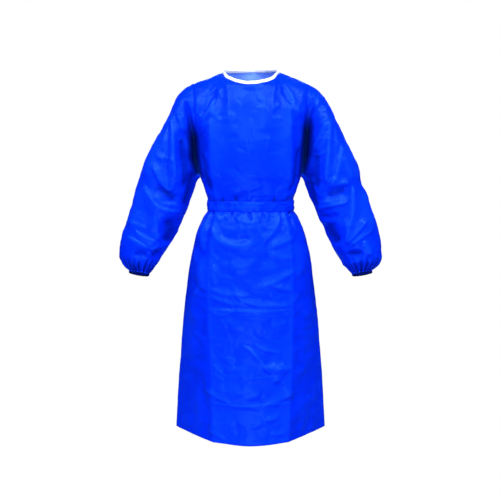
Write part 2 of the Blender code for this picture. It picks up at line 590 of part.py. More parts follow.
def build_tail(name, panel, from_z, knot, tail, thickness, finish):
    """A strip that leaves its knot and comes to lie on the back's panel, following that panel's points."""
    grid = panel[0]
    rows = grid[:, np.abs(grid[0, :, 0]) < TAIL_REACH][:, ::-1]

    def line_at(x):
        """How far back and how high each row of the panel is at this x."""
        return (np.array([np.interp(x, row[:, 0], row[:, k]) for row in rows]) for k in (1, 2))

    _, levels = line_at(tail["x"][-1])
    own = levels[(levels < from_z - TAIL_CLEAR) & (levels > tail["to_z"] + TAIL_CLEAR)]
    ease = from_z - TAIL_SETTLE * np.array(TAIL_STEPS)
    heights = np.unique(np.concatenate([[tail["to_z"]], own, ease]))
    progress = (from_z - heights) / (from_z - tail["to_z"])
    steps = np.linspace(0, 1, len(tail["x"]))
    centre = smooth(progress, steps, tail["x"])
    width = smooth(progress, steps, tail["width"])
    stand = TAIL_STAND * knot["depth"] * (1 - ramp(from_z - heights, 0, TAIL_SETTLE))
    points = []
    for z, middle, wide, off in zip(heights, centre, width, stand):
        x = middle - wide * np.linspace(-0.5, 0.5, TAIL_POINTS)
        y = [np.interp(z, level, depth) for depth, level in map(line_at, x)]
        points.append(np.stack([x, np.array(y) + LAY_GAP * 2 + off, np.full(TAIL_POINTS, z)], axis=-1))
    under = np.array(points)
    normals = shared_normals([under])[0]
    add_wall(name, under + normals * thickness, normals, finish, thickness)


def main():
    for old in list(bpy.data.objects):
        bpy.data.objects.remove(old)
    gown = bpy.data.collections.new("gown")
    bpy.context.scene.collection.children.link(gown)
    cloth = add_material("cloth", COLOURS["cloth"], 0.45)
    tape = add_material("binding", COLOURS["binding"], 0.6)
    panels = build_body(cloth)
    at, out = build_binding(panels, tape)
    from_z = build_knot("neck_knot", at, out, NECK_KNOT, tape)
    for side, tail in NECK_TAILS.items():
        build_tail("neck_tail_" + side, panels[1], from_z, NECK_KNOT, tail, TAPE_WALL, tape)
    at, out = build_belt(cloth)
    from_z = build_knot("belt_knot", at, out, BELT_KNOT, cloth)
    for side, tail in BELT_TAILS.items():
        build_tail("belt_tail_" + side, panels[1], from_z, BELT_KNOT, tail, WALL, cloth)


main()
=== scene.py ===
"""The long-sleeved disposable gown as it looks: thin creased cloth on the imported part's form.

Metres, in the part's frame: +Z up, the front towards -Y, the origin in the neck opening.
The panels repeat the part's own sections at a finer step, so they stand where its solids do.
"""

import json
import math

import bpy
import numpy as np
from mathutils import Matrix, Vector

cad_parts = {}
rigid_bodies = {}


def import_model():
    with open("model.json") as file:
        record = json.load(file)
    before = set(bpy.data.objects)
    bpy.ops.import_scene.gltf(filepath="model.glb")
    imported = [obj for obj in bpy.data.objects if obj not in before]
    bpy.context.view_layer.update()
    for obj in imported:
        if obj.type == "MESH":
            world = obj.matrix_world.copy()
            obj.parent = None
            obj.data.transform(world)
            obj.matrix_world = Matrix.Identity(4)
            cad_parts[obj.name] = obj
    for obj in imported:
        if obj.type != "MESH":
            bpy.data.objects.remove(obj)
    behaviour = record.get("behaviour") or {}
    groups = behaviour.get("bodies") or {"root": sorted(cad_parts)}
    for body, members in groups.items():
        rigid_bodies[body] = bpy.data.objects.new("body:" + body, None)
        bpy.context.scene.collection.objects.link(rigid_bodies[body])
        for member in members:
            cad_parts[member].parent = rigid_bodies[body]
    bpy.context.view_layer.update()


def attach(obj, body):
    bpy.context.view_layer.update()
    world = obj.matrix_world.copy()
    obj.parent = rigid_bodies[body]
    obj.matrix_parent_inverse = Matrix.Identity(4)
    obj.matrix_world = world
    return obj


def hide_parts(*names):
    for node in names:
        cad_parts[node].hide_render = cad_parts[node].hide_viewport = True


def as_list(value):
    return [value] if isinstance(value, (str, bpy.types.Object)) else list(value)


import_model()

CLOTH = 0.0008        # thickness of the cloth shells
SEAM_GAP = 0.0003     # between pieces that are sewn together
LAY_GAP = 0.0005      # between a piece and the panel that it lies on
SOLID_WALL = 0.002    # the part's walls, which set how far the lap and the belt stand off

# Cut of the body, as in the part. Shares run from 0 at the middle of a panel to 1 at its side seam.
HEM_Z = -1.210
ARMPIT = (0.170, 0.0, -0.348)
SHOULDER = (0.190, 0.004, -0.036)
NECK_HALF_WIDTH = 0.0965
NECK_SHARE = 5 / 13
CREASE_SHARE = 7 / 13
NECK = {"front": {"depth": -0.086, "height": -0.045}, "back": {"depth": 0.062, "height": 0.004}}
BODY_COLUMNS = ("z", "side", "front", "front_fold", "front_at", "back", "back_fold", "back_at", "bow")
BODY_LEVELS = (
    (-1.210, 0.259, 0.215, 0.121, 0.175, 0.190, 0.123, 0.152, 0.004),
    (-1.100, 0.253, 0.206, 0.125, 0.166, 0.184, 0.126, 0.146, 0.006),
    (-0.950, 0.242, 0.193, 0.130, 0.154, 0.177, 0.130, 0.139, 0.009),
    (-0.800, 0.228, 0.178, 0.134, 0.141, 0.171, 0.133, 0.131, 0.012),
    (-0.700, 0.2165, 0.166, 0.135, 0.131, 0.166, 0.133, 0.125, 0.014),
    (-0.620, 0.204, 0.155, 0.133, 0.122, 0.159, 0.131, 0.117, 0.014),
    (-0.560, 0.190, 0.144, 0.128, 0.111, 0.146, 0.126, 0.105, 0.013),
    (-0.515, 0.1755, 0.132, 0.121, 0.099, 0.126, 0.119, 0.089, 0.012),
    (-0.480, 0.160, 0.120, 0.114, 0.087, 0.106, 0.112, 0.074, 0.011),
    (-0.459, 0.145, 0.111, 0.108, 0.078, 0.092, 0.106, 0.064, 0.010),
    (-0.424, 0.145, 0.111, 0.108, 0.078, 0.092, 0.106, 0.064, 0.010),
    (-0.400, 0.152, 0.117, 0.113, 0.083, 0.097, 0.111, 0.069, 0.010),
    (-0.348, 0.170, 0.129, 0.124, 0.096, 0.109, 0.122, 0.083, 0.010),
)
BODY = dict(zip(BODY_COLUMNS, zip(*BODY_LEVELS)))
MIDDLE_POWER = 1.5        # how flat the panel runs from its middle to its crease: the part's is rounder
MIDDLE_ROUND = 0.25
NECK_DROP = 1.2
SHOULDER_DROP = 1.12
OUTWARD_RISE = 0.12
JUST_BELOW = 0.010
RISE_SHARES = (0.00, 0.38, 0.54, 0.80, 1.00)     # across the panel, for the rows below
RISE_TURN = (0.00, 0.00, 0.02, 0.35, 1.00)
RISE = {
    "front": {
        "low":    (0.105, 0.105, 0.100, 0.080, 0.070),
        "top":    (0.085, 0.080, 0.085, 0.092, 0.092),
        "steep":  (68.0, 24.0, 18.0, 16.0, 20.0),
    },
    "back": {
        "low":    (0.110, 0.110, 0.100, 0.080, 0.066),
        "top":    (0.090, 0.085, 0.090, 0.092, 0.088),
        "steep":  (66.0, 24.0, 18.0, 16.0, 20.0),
    },
}
LAP_SHARE, LAP_EASE_SHARE = 3 / 13, 5 / 13

# Sections of the sleeve, as in the part.
SLEEVE_COLUMNS = ("along", "outer_x", "outer_z", "inner_x", "inner_z", "depth", "middle_y", "lift")
SLEEVE_SECTIONS = (
    (0.00, 0.190, -0.036, 0.170, -0.348, 0.070, 0.002, 0.00),
    (0.06, 0.222, -0.054, 0.1725, -0.350, 0.076, 0.002, 0.00),
    (0.12, 0.248, -0.082, 0.175, -0.3525, 0.081, 0.002, 0.00),
    (0.20, 0.275, -0.136, 0.1775, -0.3565, 0.086, 0.001, 0.00),
    (0.28, 0.302, -0.192, 0.1805, -0.3625, 0.089, 0.000, 0.00),
    (0.36, 0.331, -0.248, 0.184, -0.3705, 0.091, -0.001, 0.00),
    (0.44, 0.357, -0.303, 0.188, -0.381, 0.092, -0.002, 0.00),
    (0.54, 0.384, -0.378, 0.206, -0.428, 0.092, -0.006, 0.02),
    (0.64, 0.407, -0.452, 0.227, -0.479, 0.090, -0.013, 0.05),
    (0.76, 0.429, -0.530, 0.256, -0.542, 0.086, -0.025, 0.10),
    (0.86, 0.441, -0.588, 0.282, -0.592, 0.080, -0.037, 0.16),
    (0.91, 0.441, -0.612, 0.299, -0.6165, 0.073, -0.043, 0.20),
    (0.95, 0.433, -0.632, 0.314, -0.637, 0.063, -0.048, 0.24),
    (0.98, 0.420, -0.647, 0.3285, -0.654, 0.048, -0.053, 0.28),
    (1.00, 0.4035, -0.657, 0.3415, -0.6665, 0.031, -0.057, 0.31),
)
SLEEVE = dict(zip(SLEEVE_COLUMNS, zip(*SLEEVE_SECTIONS)))
ARMHOLE_EASE = 0.30
CUFF_HEIGHT = 0.009

# Steps of the cloth's grids.
HALF_COLUMNS = 78         # cells from the middle of a body panel to its side seam
RISES = 72                # cells from the armpit up to the shoulder seam, and half the cells round a sleeve
ROW_STEP = 0.0042         # the tallest cell below the armpit
SLEEVE_STEPS = 156        # cells along a sleeve
CUFF_STEPS = 6
EASED_SHARES = (0.12, 0.15)   # how far from the neck point the evening out starts to fade and ends
EASED_TOP = 0.06              # and over which shares of the rise it sets in from the top and from the foot
EASED_FOOT = 0.3
EASED_PASSES = 220
SAME_PLACE = 0.00001      # points that lie closer than this are one
SAME_SHIFT = 0.137        # keeps the limits between such places off round numbers
TINY = 1e-12

# Gathers at the wrist: lobes round the sleeve with sharp valleys, of uneven depth and length.
GATHERS = 18
GATHER_DRIFT = ((2, 0.5, 0.7), (5, 0.35, 0.0))    # waves in their width: how many, how much, how far round
GATHER_DEPTH = 0.0052
GATHER_ROUND = 0.8        # power of a lobe, and how high and low it goes in depths
GATHER_RISE, GATHER_DROP = 2.0, 1.2
GATHER_UNEVEN = 0.45      # share of the depth that comes and goes, and how often round the wrist
GATHER_CHANGES = 3.5
GATHER_START = 0.900      # where along the sleeve they begin, more or less
GATHER_WANDER = 0.028
CUFF_GATHER = 0.65        # share of the depth at the cuff's end, and where along the cuff it is reached
CUFF_GATHER_AT = 0.4
CUFF_BULGE = 0.0012
GATHER_SHADE = 0.75       # how dark the painted shade in the valleys is, and how narrow it is
VALLEY_POWER = 0.7
CUFF_SHADE = 0.90         # how dark the painted shade at the cuff's end is, and where along the cuff that starts and is whole
CUFF_SHADE_AT = (0.3, 0.9)
WRIST_CALM = (0.94, 1.0)  # where along the sleeve its creases start to fade and are gone

BELT_TOP = -0.4250
BELT_HEIGHT = 0.033
BELT_MIDDLE = BELT_TOP - BELT_HEIGHT / 2

# The level packing creases of the front and the back, which the grid has a row on.
PACKING_LEVELS = (-1.080, -0.990, -0.775)

MARKS = ("inside", "crease", "tuck")      # what the cloth's finish reads at each point, from 0 to 1: the paler inside skin, painted sheen, painted shade

# The edges of a grid: its row or column, the one beside it, and which axis that is.
EDGES = {"bottom": (0, 1, 0), "top": (-1, -2, 0), "first": (0, 1, 1), "last": (-1, -2, 1)}
# The edges along which each body piece is sewn to others, and those of them that show a groove.
SEWN = {
    "front": ("first", "last", "top"), "back_left": ("first", "top"), "back_right": ("last", "top"),
    "sleeve_left": ("bottom", "top"), "sleeve_right": ("bottom", "top"),
    "cuff_left": ("bottom",), "cuff_right": ("bottom",),
}
GROOVED = SEWN | {
    "sleeve_left": ("bottom",), "sleeve_right": ("bottom",), "cuff_left": (), "cuff_right": (),
}

# Where the sleeves tuck in beside the body, from the top down: the tuck's place, how wide it is there
# and which share of the garment's depth it takes.
TUCK_COLUMNS = ("x", "z", "width", "share")
TUCKS = (
    ((-0.212, -0.095, 0.008, 0.00), (-0.199, -0.160, 0.012, 0.40), (-0.190, -0.215, 0.022, 0.80),
     (-0.187, -0.285, 0.024, 0.85), (-0.174, -0.345, 0.016, 0.70), (-0.167, -0.375, 0.008, 0.00)),
    ((0.192, -0.080, 0.008, 0.00), (0.192, -0.140, 0.014, 0.40), (0.189, -0.190, 0.022, 0.80),
     (0.183, -0.275, 0.023, 0.85), (0.174, -0.345, 0.016, 0.70), (0.167, -0.375, 0.008, 0.00)),
)
TUCK_FALL = (0.1, 1.0)       # in widths from its line: where a tuck starts to fade, and where it ends
WIDE_TUCK = 0.52             # share of a tuck that reaches further out to either side
WIDE_TUCK_REACH = 3.0        # how far it reaches, in widths
TUCK_CALM = (0.004, 0.020)   # how far from the side seam's plane a tuck starts and is whole

# Creases and folds, placed from the picture in the garment's own sizes: the points (x, z) that
# one runs through, how wide it is to either side, its height (a trough's is negative), how crisp it
# is from 0, a soft swell, to 1, a sharp fold, and how far it leans to one side of its line.
FRONT_CREASES = (
    # left sleeve
    (((-0.262, -0.12), (-0.256, -0.2), (-0.25, -0.28), (-0.246, -0.34), (-0.243, -0.37)),
     0.022, 0.0105, 0.6, -0.5),
    (((-0.225, -0.185), (-0.218, -0.27), (-0.212, -0.34), (-0.22, -0.405)), 0.027, -0.0125, 0.3, 0),
    (((-0.27, -0.14), (-0.27, -0.23), (-0.275, -0.31), (-0.28, -0.355)), 0.013, -0.0075, 0.3, 0.2),
    (((-0.18, -0.31), (-0.19, -0.37), (-0.205, -0.425), (-0.22, -0.46)), 0.022, -0.0125, 0.3, 0),
    (((-0.32, -0.3), (-0.3, -0.35), (-0.265, -0.39), (-0.243, -0.37)), 0.02, 0.009, 0.6, 0.6),
    (((-0.22, -0.085), (-0.207, -0.14), (-0.192, -0.2)), 0.009, -0.0105, 0.5, 0),
    (((-0.245, -0.14), (-0.23, -0.165), (-0.215, -0.2)), 0.012, 0.005, 0.6, 0.5),
    (((-0.245, -0.225), (-0.225, -0.22), (-0.205, -0.245), (-0.198, -0.275)), 0.014, 0.006, 0.7, 0.6),
    (((-0.28, -0.09), (-0.27, -0.13), (-0.268, -0.17)), 0.012, -0.005, 0.4, 0),
    (((-0.325, -0.375), (-0.275, -0.4), (-0.235, -0.43)), 0.03, -0.0105, 0.3, 0),
    (((-0.36, -0.36), (-0.335, -0.395), (-0.305, -0.44), (-0.265, -0.455), (-0.22, -0.46)),
     0.02, 0.0095, 0.65, -0.6),
    (((-0.315, -0.4), (-0.29, -0.43), (-0.255, -0.435), (-0.225, -0.45)), 0.009, 0.003, 0.9, 0),
    (((-0.27, -0.475), (-0.263, -0.525), (-0.28, -0.575)), 0.034, -0.0115, 0.3, 0),
    (((-0.312, -0.46), (-0.305, -0.51), (-0.298, -0.56)), 0.014, 0.006, 0.75, -0.7),
    (((-0.295, -0.585), (-0.31, -0.6), (-0.325, -0.61)), 0.016, -0.009, 0.3, 0),
    (((-0.41, -0.535), (-0.37, -0.555), (-0.33, -0.58)), 0.013, 0.005, 0.8, -0.6),
    (((-0.385, -0.515), (-0.345, -0.54), (-0.3, -0.56)), 0.014, 0.0055, 0.7, -0.6),
    (((-0.33, -0.585), (-0.31, -0.575), (-0.295, -0.56)), 0.012, 0.0045, 0.7, 0.6),
    (((-0.405, -0.485), (-0.375, -0.5), (-0.335, -0.51)), 0.016, 0.0035, 0.5, -0.5),
    (((-0.39, -0.6), (-0.355, -0.6), (-0.335, -0.61)), 0.014, -0.0075, 0.3, 0),
    (((-0.3, -0.17), (-0.318, -0.26), (-0.342, -0.36)), 0.036, 0.0065, 0.3, 0),
    (((-0.36, -0.375), (-0.38, -0.45), (-0.39, -0.53)), 0.036, 0.0055, 0.3, 0),
    # right sleeve
    (((0.2, -0.075), (0.215, -0.095), (0.212, -0.125)), 0.016, 0.0065, 0.5, 0),
    (((0.216, -0.07), (0.207, -0.11), (0.198, -0.155)), 0.009, -0.0105, 0.5, 0),
    (((0.248, -0.13), (0.256, -0.21), (0.25, -0.29), (0.246, -0.34), (0.254, -0.385)),
     0.022, 0.0105, 0.6, 0.5),
    (((0.215, -0.25), (0.21, -0.32), (0.222, -0.4)), 0.028, -0.0125, 0.3, 0),
    (((0.27, -0.16), (0.27, -0.25), (0.266, -0.33)), 0.012, -0.0065, 0.3, 0),
    (((0.18, -0.31), (0.19, -0.37), (0.205, -0.425), (0.22, -0.46)), 0.022, -0.0125, 0.3, 0),
    (((0.3, -0.225), (0.292, -0.28), (0.28, -0.33), (0.256, -0.385)), 0.016, 0.0085, 0.65, 0.5),
    (((0.248, -0.15), (0.23, -0.2), (0.2, -0.265)), 0.016, 0.0065, 0.6, 0.6),
    (((0.25, -0.195), (0.235, -0.235), (0.21, -0.265)), 0.01, 0.004, 0.7, 0.5),
    (((0.195, -0.27), (0.22, -0.275), (0.25, -0.262)), 0.012, 0.006, 0.7, 0.7),
    (((0.24, -0.41), (0.28, -0.398), (0.32, -0.383)), 0.027, -0.01, 0.3, 0),
    (((0.25, -0.38), (0.29, -0.37), (0.33, -0.365)), 0.017, 0.008, 0.65, 0.6),
    (((0.215, -0.452), (0.26, -0.44), (0.3, -0.432), (0.325, -0.425)), 0.015, 0.008, 0.7, 0.6),
    (((0.22, -0.43), (0.27, -0.42), (0.31, -0.405)), 0.01, 0.0035, 0.8, 0),
    (((0.225, -0.472), (0.26, -0.478), (0.29, -0.468)), 0.013, -0.007, 0.3, 0),
    (((0.335, -0.36), (0.336, -0.415), (0.33, -0.47), (0.31, -0.535)), 0.014, 0.007, 0.75, 0.6),
    (((0.338, -0.36), (0.32, -0.325), (0.305, -0.275)), 0.018, 0.006, 0.5, 0),
    (((0.252, -0.49), (0.268, -0.535), (0.29, -0.575)), 0.034, -0.0115, 0.3, 0),
    (((0.31, -0.485), (0.315, -0.525), (0.31, -0.57)), 0.014, 0.006, 0.75, 0.7),
    (((0.31, -0.57), (0.345, -0.53), (0.385, -0.485)), 0.016, 0.0075, 0.65, 0.6),
    (((0.32, -0.575), (0.36, -0.545), (0.41, -0.515)), 0.014, 0.006, 0.7, 0.6),
    (((0.315, -0.597), (0.345, -0.597), (0.372, -0.59)), 0.015, -0.0095, 0.3, 0),
    (((0.365, -0.55), (0.38, -0.575), (0.395, -0.605)), 0.014, 0.0055, 0.7, 0.4),
    (((0.315, -0.22), (0.335, -0.3), (0.357, -0.37)), 0.032, 0.005, 0.3, 0),
    (((0.368, -0.38), (0.386, -0.45), (0.396, -0.53)), 0.034, 0.0055, 0.3, 0),
    # chest
    (((-0.11, -0.05), (-0.135, -0.1), (-0.165, -0.155)), 0.014, -0.0091, 0.35, 0.2),
    (((-0.115, -0.08), (-0.135, -0.125), (-0.16, -0.175)), 0.017, 0.0065, 0.4, -0.5),
    (((-0.125, -0.045), (-0.145, -0.085)), 0.01, -0.003, 0.4, 0),
    (((-0.175, -0.07), (-0.175, -0.115), (-0.175, -0.15)), 0.013, 0.0039, 0.5, 0),
    (((-0.14, -0.255), (-0.15, -0.315), (-0.14, -0.375)), 0.014, 0.0032, 0.3, 0),
    (((-0.165, -0.26), (-0.15, -0.33), (-0.128, -0.41)), 0.02, -0.0105, 0.3, 0),
    (((0.1, -0.045), (0.12, -0.08), (0.135, -0.115)), 0.012, -0.0059, 0.35, 0),
    (((0.115, -0.055), (0.135, -0.095), (0.165, -0.15)), 0.017, 0.0045, 0.4, 0),
    (((0.16, -0.155), (0.165, -0.21), (0.155, -0.265)), 0.017, 0.0039, 0.4, 0),
    (((0.145, -0.29), (0.135, -0.34), (0.13, -0.385)), 0.014, 0.0032, 0.3, 0),
    (((0.17, -0.24), (0.155, -0.32), (0.135, -0.4)), 0.018, -0.0095, 0.3, 0),
    (((0.035, -0.065), (0.045, -0.135), (0.04, -0.21)), 0.02, 0.002, 0.2, 0),
    (((-0.08, -0.1), (-0.07, -0.16), (-0.075, -0.225)), 0.02, 0.0017, 0.2, 0),
    (((-0.09, -0.32), (-0.035, -0.345), (0.035, -0.335)), 0.022, 0.0021, 0.2, 0),
    (((-0.06, -0.375), (-0.045, -0.405)), 0.017, 0.0023, 0.4, 0),
    (((0.065, -0.36), (0.055, -0.41)), 0.017, 0.0023, 0.4, 0),
    # skirt
    (((-0.104, -0.445), (-0.112, -0.5), (-0.122, -0.575)), 0.015, 0.0048, 0.5, 0),
    (((-0.125, -0.495), (-0.112, -0.54), (-0.085, -0.562), (-0.04, -0.57), (0.03, -0.555)),
     0.02, 0.006, 0.5, 0.33),
    (((-0.06, -0.465), (-0.025, -0.492), (0.01, -0.494), (0.04, -0.47)), 0.012, 0.0036, 0.5, 0.33),
    (((0.015, -0.47), (0.03, -0.515), (0.055, -0.56)), 0.014, 0.004, 0.5, 0.17),
    (((0.106, -0.45), (0.085, -0.505), (0.04, -0.56)), 0.017, 0.006, 0.6, -0.28),
    (((-0.14, -0.475), (-0.155, -0.525), (-0.165, -0.595)), 0.024, 0.0062, 0.4, 0.28),
    (((-0.13, -0.48), (-0.14, -0.53), (-0.15, -0.59)), 0.013, -0.0078, 0.35, 0),
    (((-0.16, -0.6), (-0.16, -0.66), (-0.14, -0.725)), 0.022, 0.005, 0.4, 0),
    (((-0.19, -0.745), (-0.2, -0.88), (-0.2, -0.985)), 0.033, 0.0026, 0.15, 0),
    (((-0.175, -1.025), (-0.175, -1.13), (-0.17, -1.215)), 0.029, 0.0026, 0.15, 0),
    (((-0.1, -0.5), (-0.08, -0.535), (-0.035, -0.545), (0.005, -0.54)), 0.016, -0.0052, 0.2, 0),
    (((-0.008, -0.445), (-0.004, -0.465), (0.004, -0.49)), 0.006, -0.0095, 0.5, 0),
    (((0.036, -0.445), (0.04, -0.465), (0.046, -0.485)), 0.005, -0.0085, 0.5, 0),
    (((-0.058, -0.445), (-0.062, -0.465), (-0.07, -0.485)), 0.005, -0.008, 0.5, 0),
    (((-0.118, -0.445), (-0.128, -0.475), (-0.138, -0.52)), 0.008, -0.0095, 0.5, 0),
    (((0.125, -0.445), (0.133, -0.475), (0.142, -0.52)), 0.008, -0.0095, 0.5, 0),
    (((0.096, -0.445), (0.101, -0.48), (0.104, -0.52)), 0.007, -0.0095, 0.6, 0),
    (((-0.08, -0.46), (-0.075, -0.485)), 0.011, 0.0034, 0.6, 0),
    (((-0.025, -0.46), (-0.03, -0.485)), 0.009, 0.0034, 0.6, 0),
    (((0.05, -0.46), (0.055, -0.49)), 0.011, 0.0037, 0.6, 0),
    (((-0.105, -0.465), (-0.095, -0.495)), 0.013, 0.0037, 0.5, 0),
    (((-0.07, -0.615), (-0.04, -0.635), (-0.01, -0.645)), 0.024, 0.0034, 0.3, 0),
    (((0.035, -0.62), (0.065, -0.635), (0.095, -0.635)), 0.021, 0.003, 0.3, 0),
    (((0.065, -0.815), (0.09, -0.82), (0.12, -0.81)), 0.019, 0.0034, 0.5, 0),
    (((-0.09, -0.8), (-0.055, -0.82), (-0.015, -0.83)), 0.021, 0.0026, 0.3, 0),
    (((-0.04, -0.88), (0, -0.9), (0.03, -0.935), (0.075, -0.99)), 0.013, 0.0068, 0.7, -0.3),
    (((0, -0.87), (0.045, -0.9), (0.105, -0.915)), 0.013, 0.006, 0.7, 0.3),
    (((0.12, -0.96), (0.1, -0.985), (0.08, -1.015)), 0.014, 0.004, 0.6, 0),
    (((-0.125, -0.95), (-0.11, -0.97), (-0.09, -0.98)), 0.013, 0.0043, 0.6, 0.33),
    (((-0.125, -0.985), (-0.105, -0.995), (-0.085, -1.005)), 0.013, 0.004, 0.6, 0.33),
    (((0.045, -1.13), (0.075, -1.125), (0.1, -1.105)), 0.016, 0.0065, 0.6, 0.44),
    (((-0.12, -1.115), (-0.085, -1.14), (-0.045, -1.15)), 0.024, 0.0026, 0.3, 0),
    (((-0.035, -1.015), (0.005, -1.035), (0.035, -1.055)), 0.026, 0.0034, 0.3, 0),
    (((-0.12, -1.04), (-0.07, -1.03), (-0.02, -1.045)), 0.026, 0.0036, 0.3, 0),
    (((0.02, -1.11), (0.06, -1.13), (0.1, -1.15)), 0.024, 0.0034, 0.3, 0),
    (((0.16, -0.725), (0.145, -0.74), (0.135, -0.755)), 0.014, 0.0037, 0.5, 0),
    (((0.155, -0.55), (0.16, -0.62), (0.15, -0.69)), 0.024, 0.0043, 0.3, 0),
    (((0.18, -0.81), (0.19, -0.92), (0.185, -0.985)), 0.031, 0.0023, 0.15, 0),
    (((0.165, -1.05), (0.175, -1.14), (0.17, -1.205)), 0.029, 0.0023, 0.15, 0),
    (((0.055, -0.577), (0.1, -0.56), (0.15, -0.54)), 0.018, 0.006, 0.5, 0.33),
    (((0.055, -0.59), (0.1, -0.602), (0.15, -0.612)), 0.017, 0.0056, 0.5, 0.33),
    (((0.02, -0.702), (0.08, -0.681), (0.15, -0.65)), 0.017, 0.006, 0.55, 0.33),
    (((0.06, -0.69), (0.1, -0.706), (0.145, -0.714)), 0.015, 0.0052, 0.5, 0.33),
    (((-0.12, -0.62), (-0.122, -0.66), (-0.115, -0.7)), 0.015, 0.004, 0.5, 0.28),
    (((-0.14, -0.708), (-0.07, -0.724), (0, -0.725)), 0.015, 0.0056, 0.55, 0.33),
    (((-0.135, -0.733), (-0.075, -0.748), (-0.01, -0.757)), 0.015, 0.0052, 0.5, 0.33),
    (((-0.065, -0.71), (-0.025, -0.742), (0.036, -0.757), (0.145, -0.765)), 0.013, 0.0056, 0.6, 0.33),
    (((-0.14, -0.775), (-0.1, -0.79), (-0.05, -0.778)), 0.013, 0.0048, 0.5, 0.33),
    (((0.095, -1), (0.115, -1.03), (0.122, -1.075)), 0.013, 0.004, 0.5, 0.17),
    (((0.035, -0.955), (0.085, -0.96), (0.14, -0.966)), 0.017, 0.0065, 0.45, -0.3),
    (((0.098, -0.95), (0.085, -0.985), (0.076, -1.015)), 0.016, 0.0055, 0.4, 0),
    (((0.062, -0.948), (0.09, -0.96), (0.118, -0.955)), 0.023, 0.005, 0.3, 0),
    (((-0.14, -1.17), (-0.11, -1.185), (-0.08, -1.2)), 0.013, 0.005, 0.5, 0.2),
    (((0.06, -1.17), (0.09, -1.18), (0.12, -1.175)), 0.013, 0.005, 0.5, 0.2),
    # level packing creases
    (((-0.16, -0.775), (-0.06, -0.774), (0.05, -0.776), (0.16, -0.775)), 0.009, 0.004, 1, 0),
    (((-0.13, -0.99), (-0.05, -0.988), (0.04, -0.991), (0.13, -0.989)), 0.009, 0.0016, 0.9, 0.4),
    (((0.14, -0.985), (0.19, -0.982)), 0.009, 0.002, 0.8, 0.4),
    (((-0.16, -1.08), (-0.03, -1.082), (0.05, -1.079), (0.16, -1.081)), 0.009, 0.004, 1, 0),
    (((0.04, -1.077), (0.09, -1.068), (0.145, -1.045)), 0.014, 0.0055, 0.5, 0.3),
    (((-0.15, -1.035), (-0.11, -1.058), (-0.06, -1.076)), 0.012, 0.005, 0.5, 0.3),
    (((-0.165, -0.176), (-0.125, -0.174)), 0.008, 0.0018, 0.8, 0.3),
    (((0.125, -0.174), (0.17, -0.176)), 0.008, 0.0018, 0.8, 0.3),
    (((-0.004, -0.385), (-0.005, -0.5), (-0.004, -0.56)), 0.007, 0.0012, 0.9, 0),
)
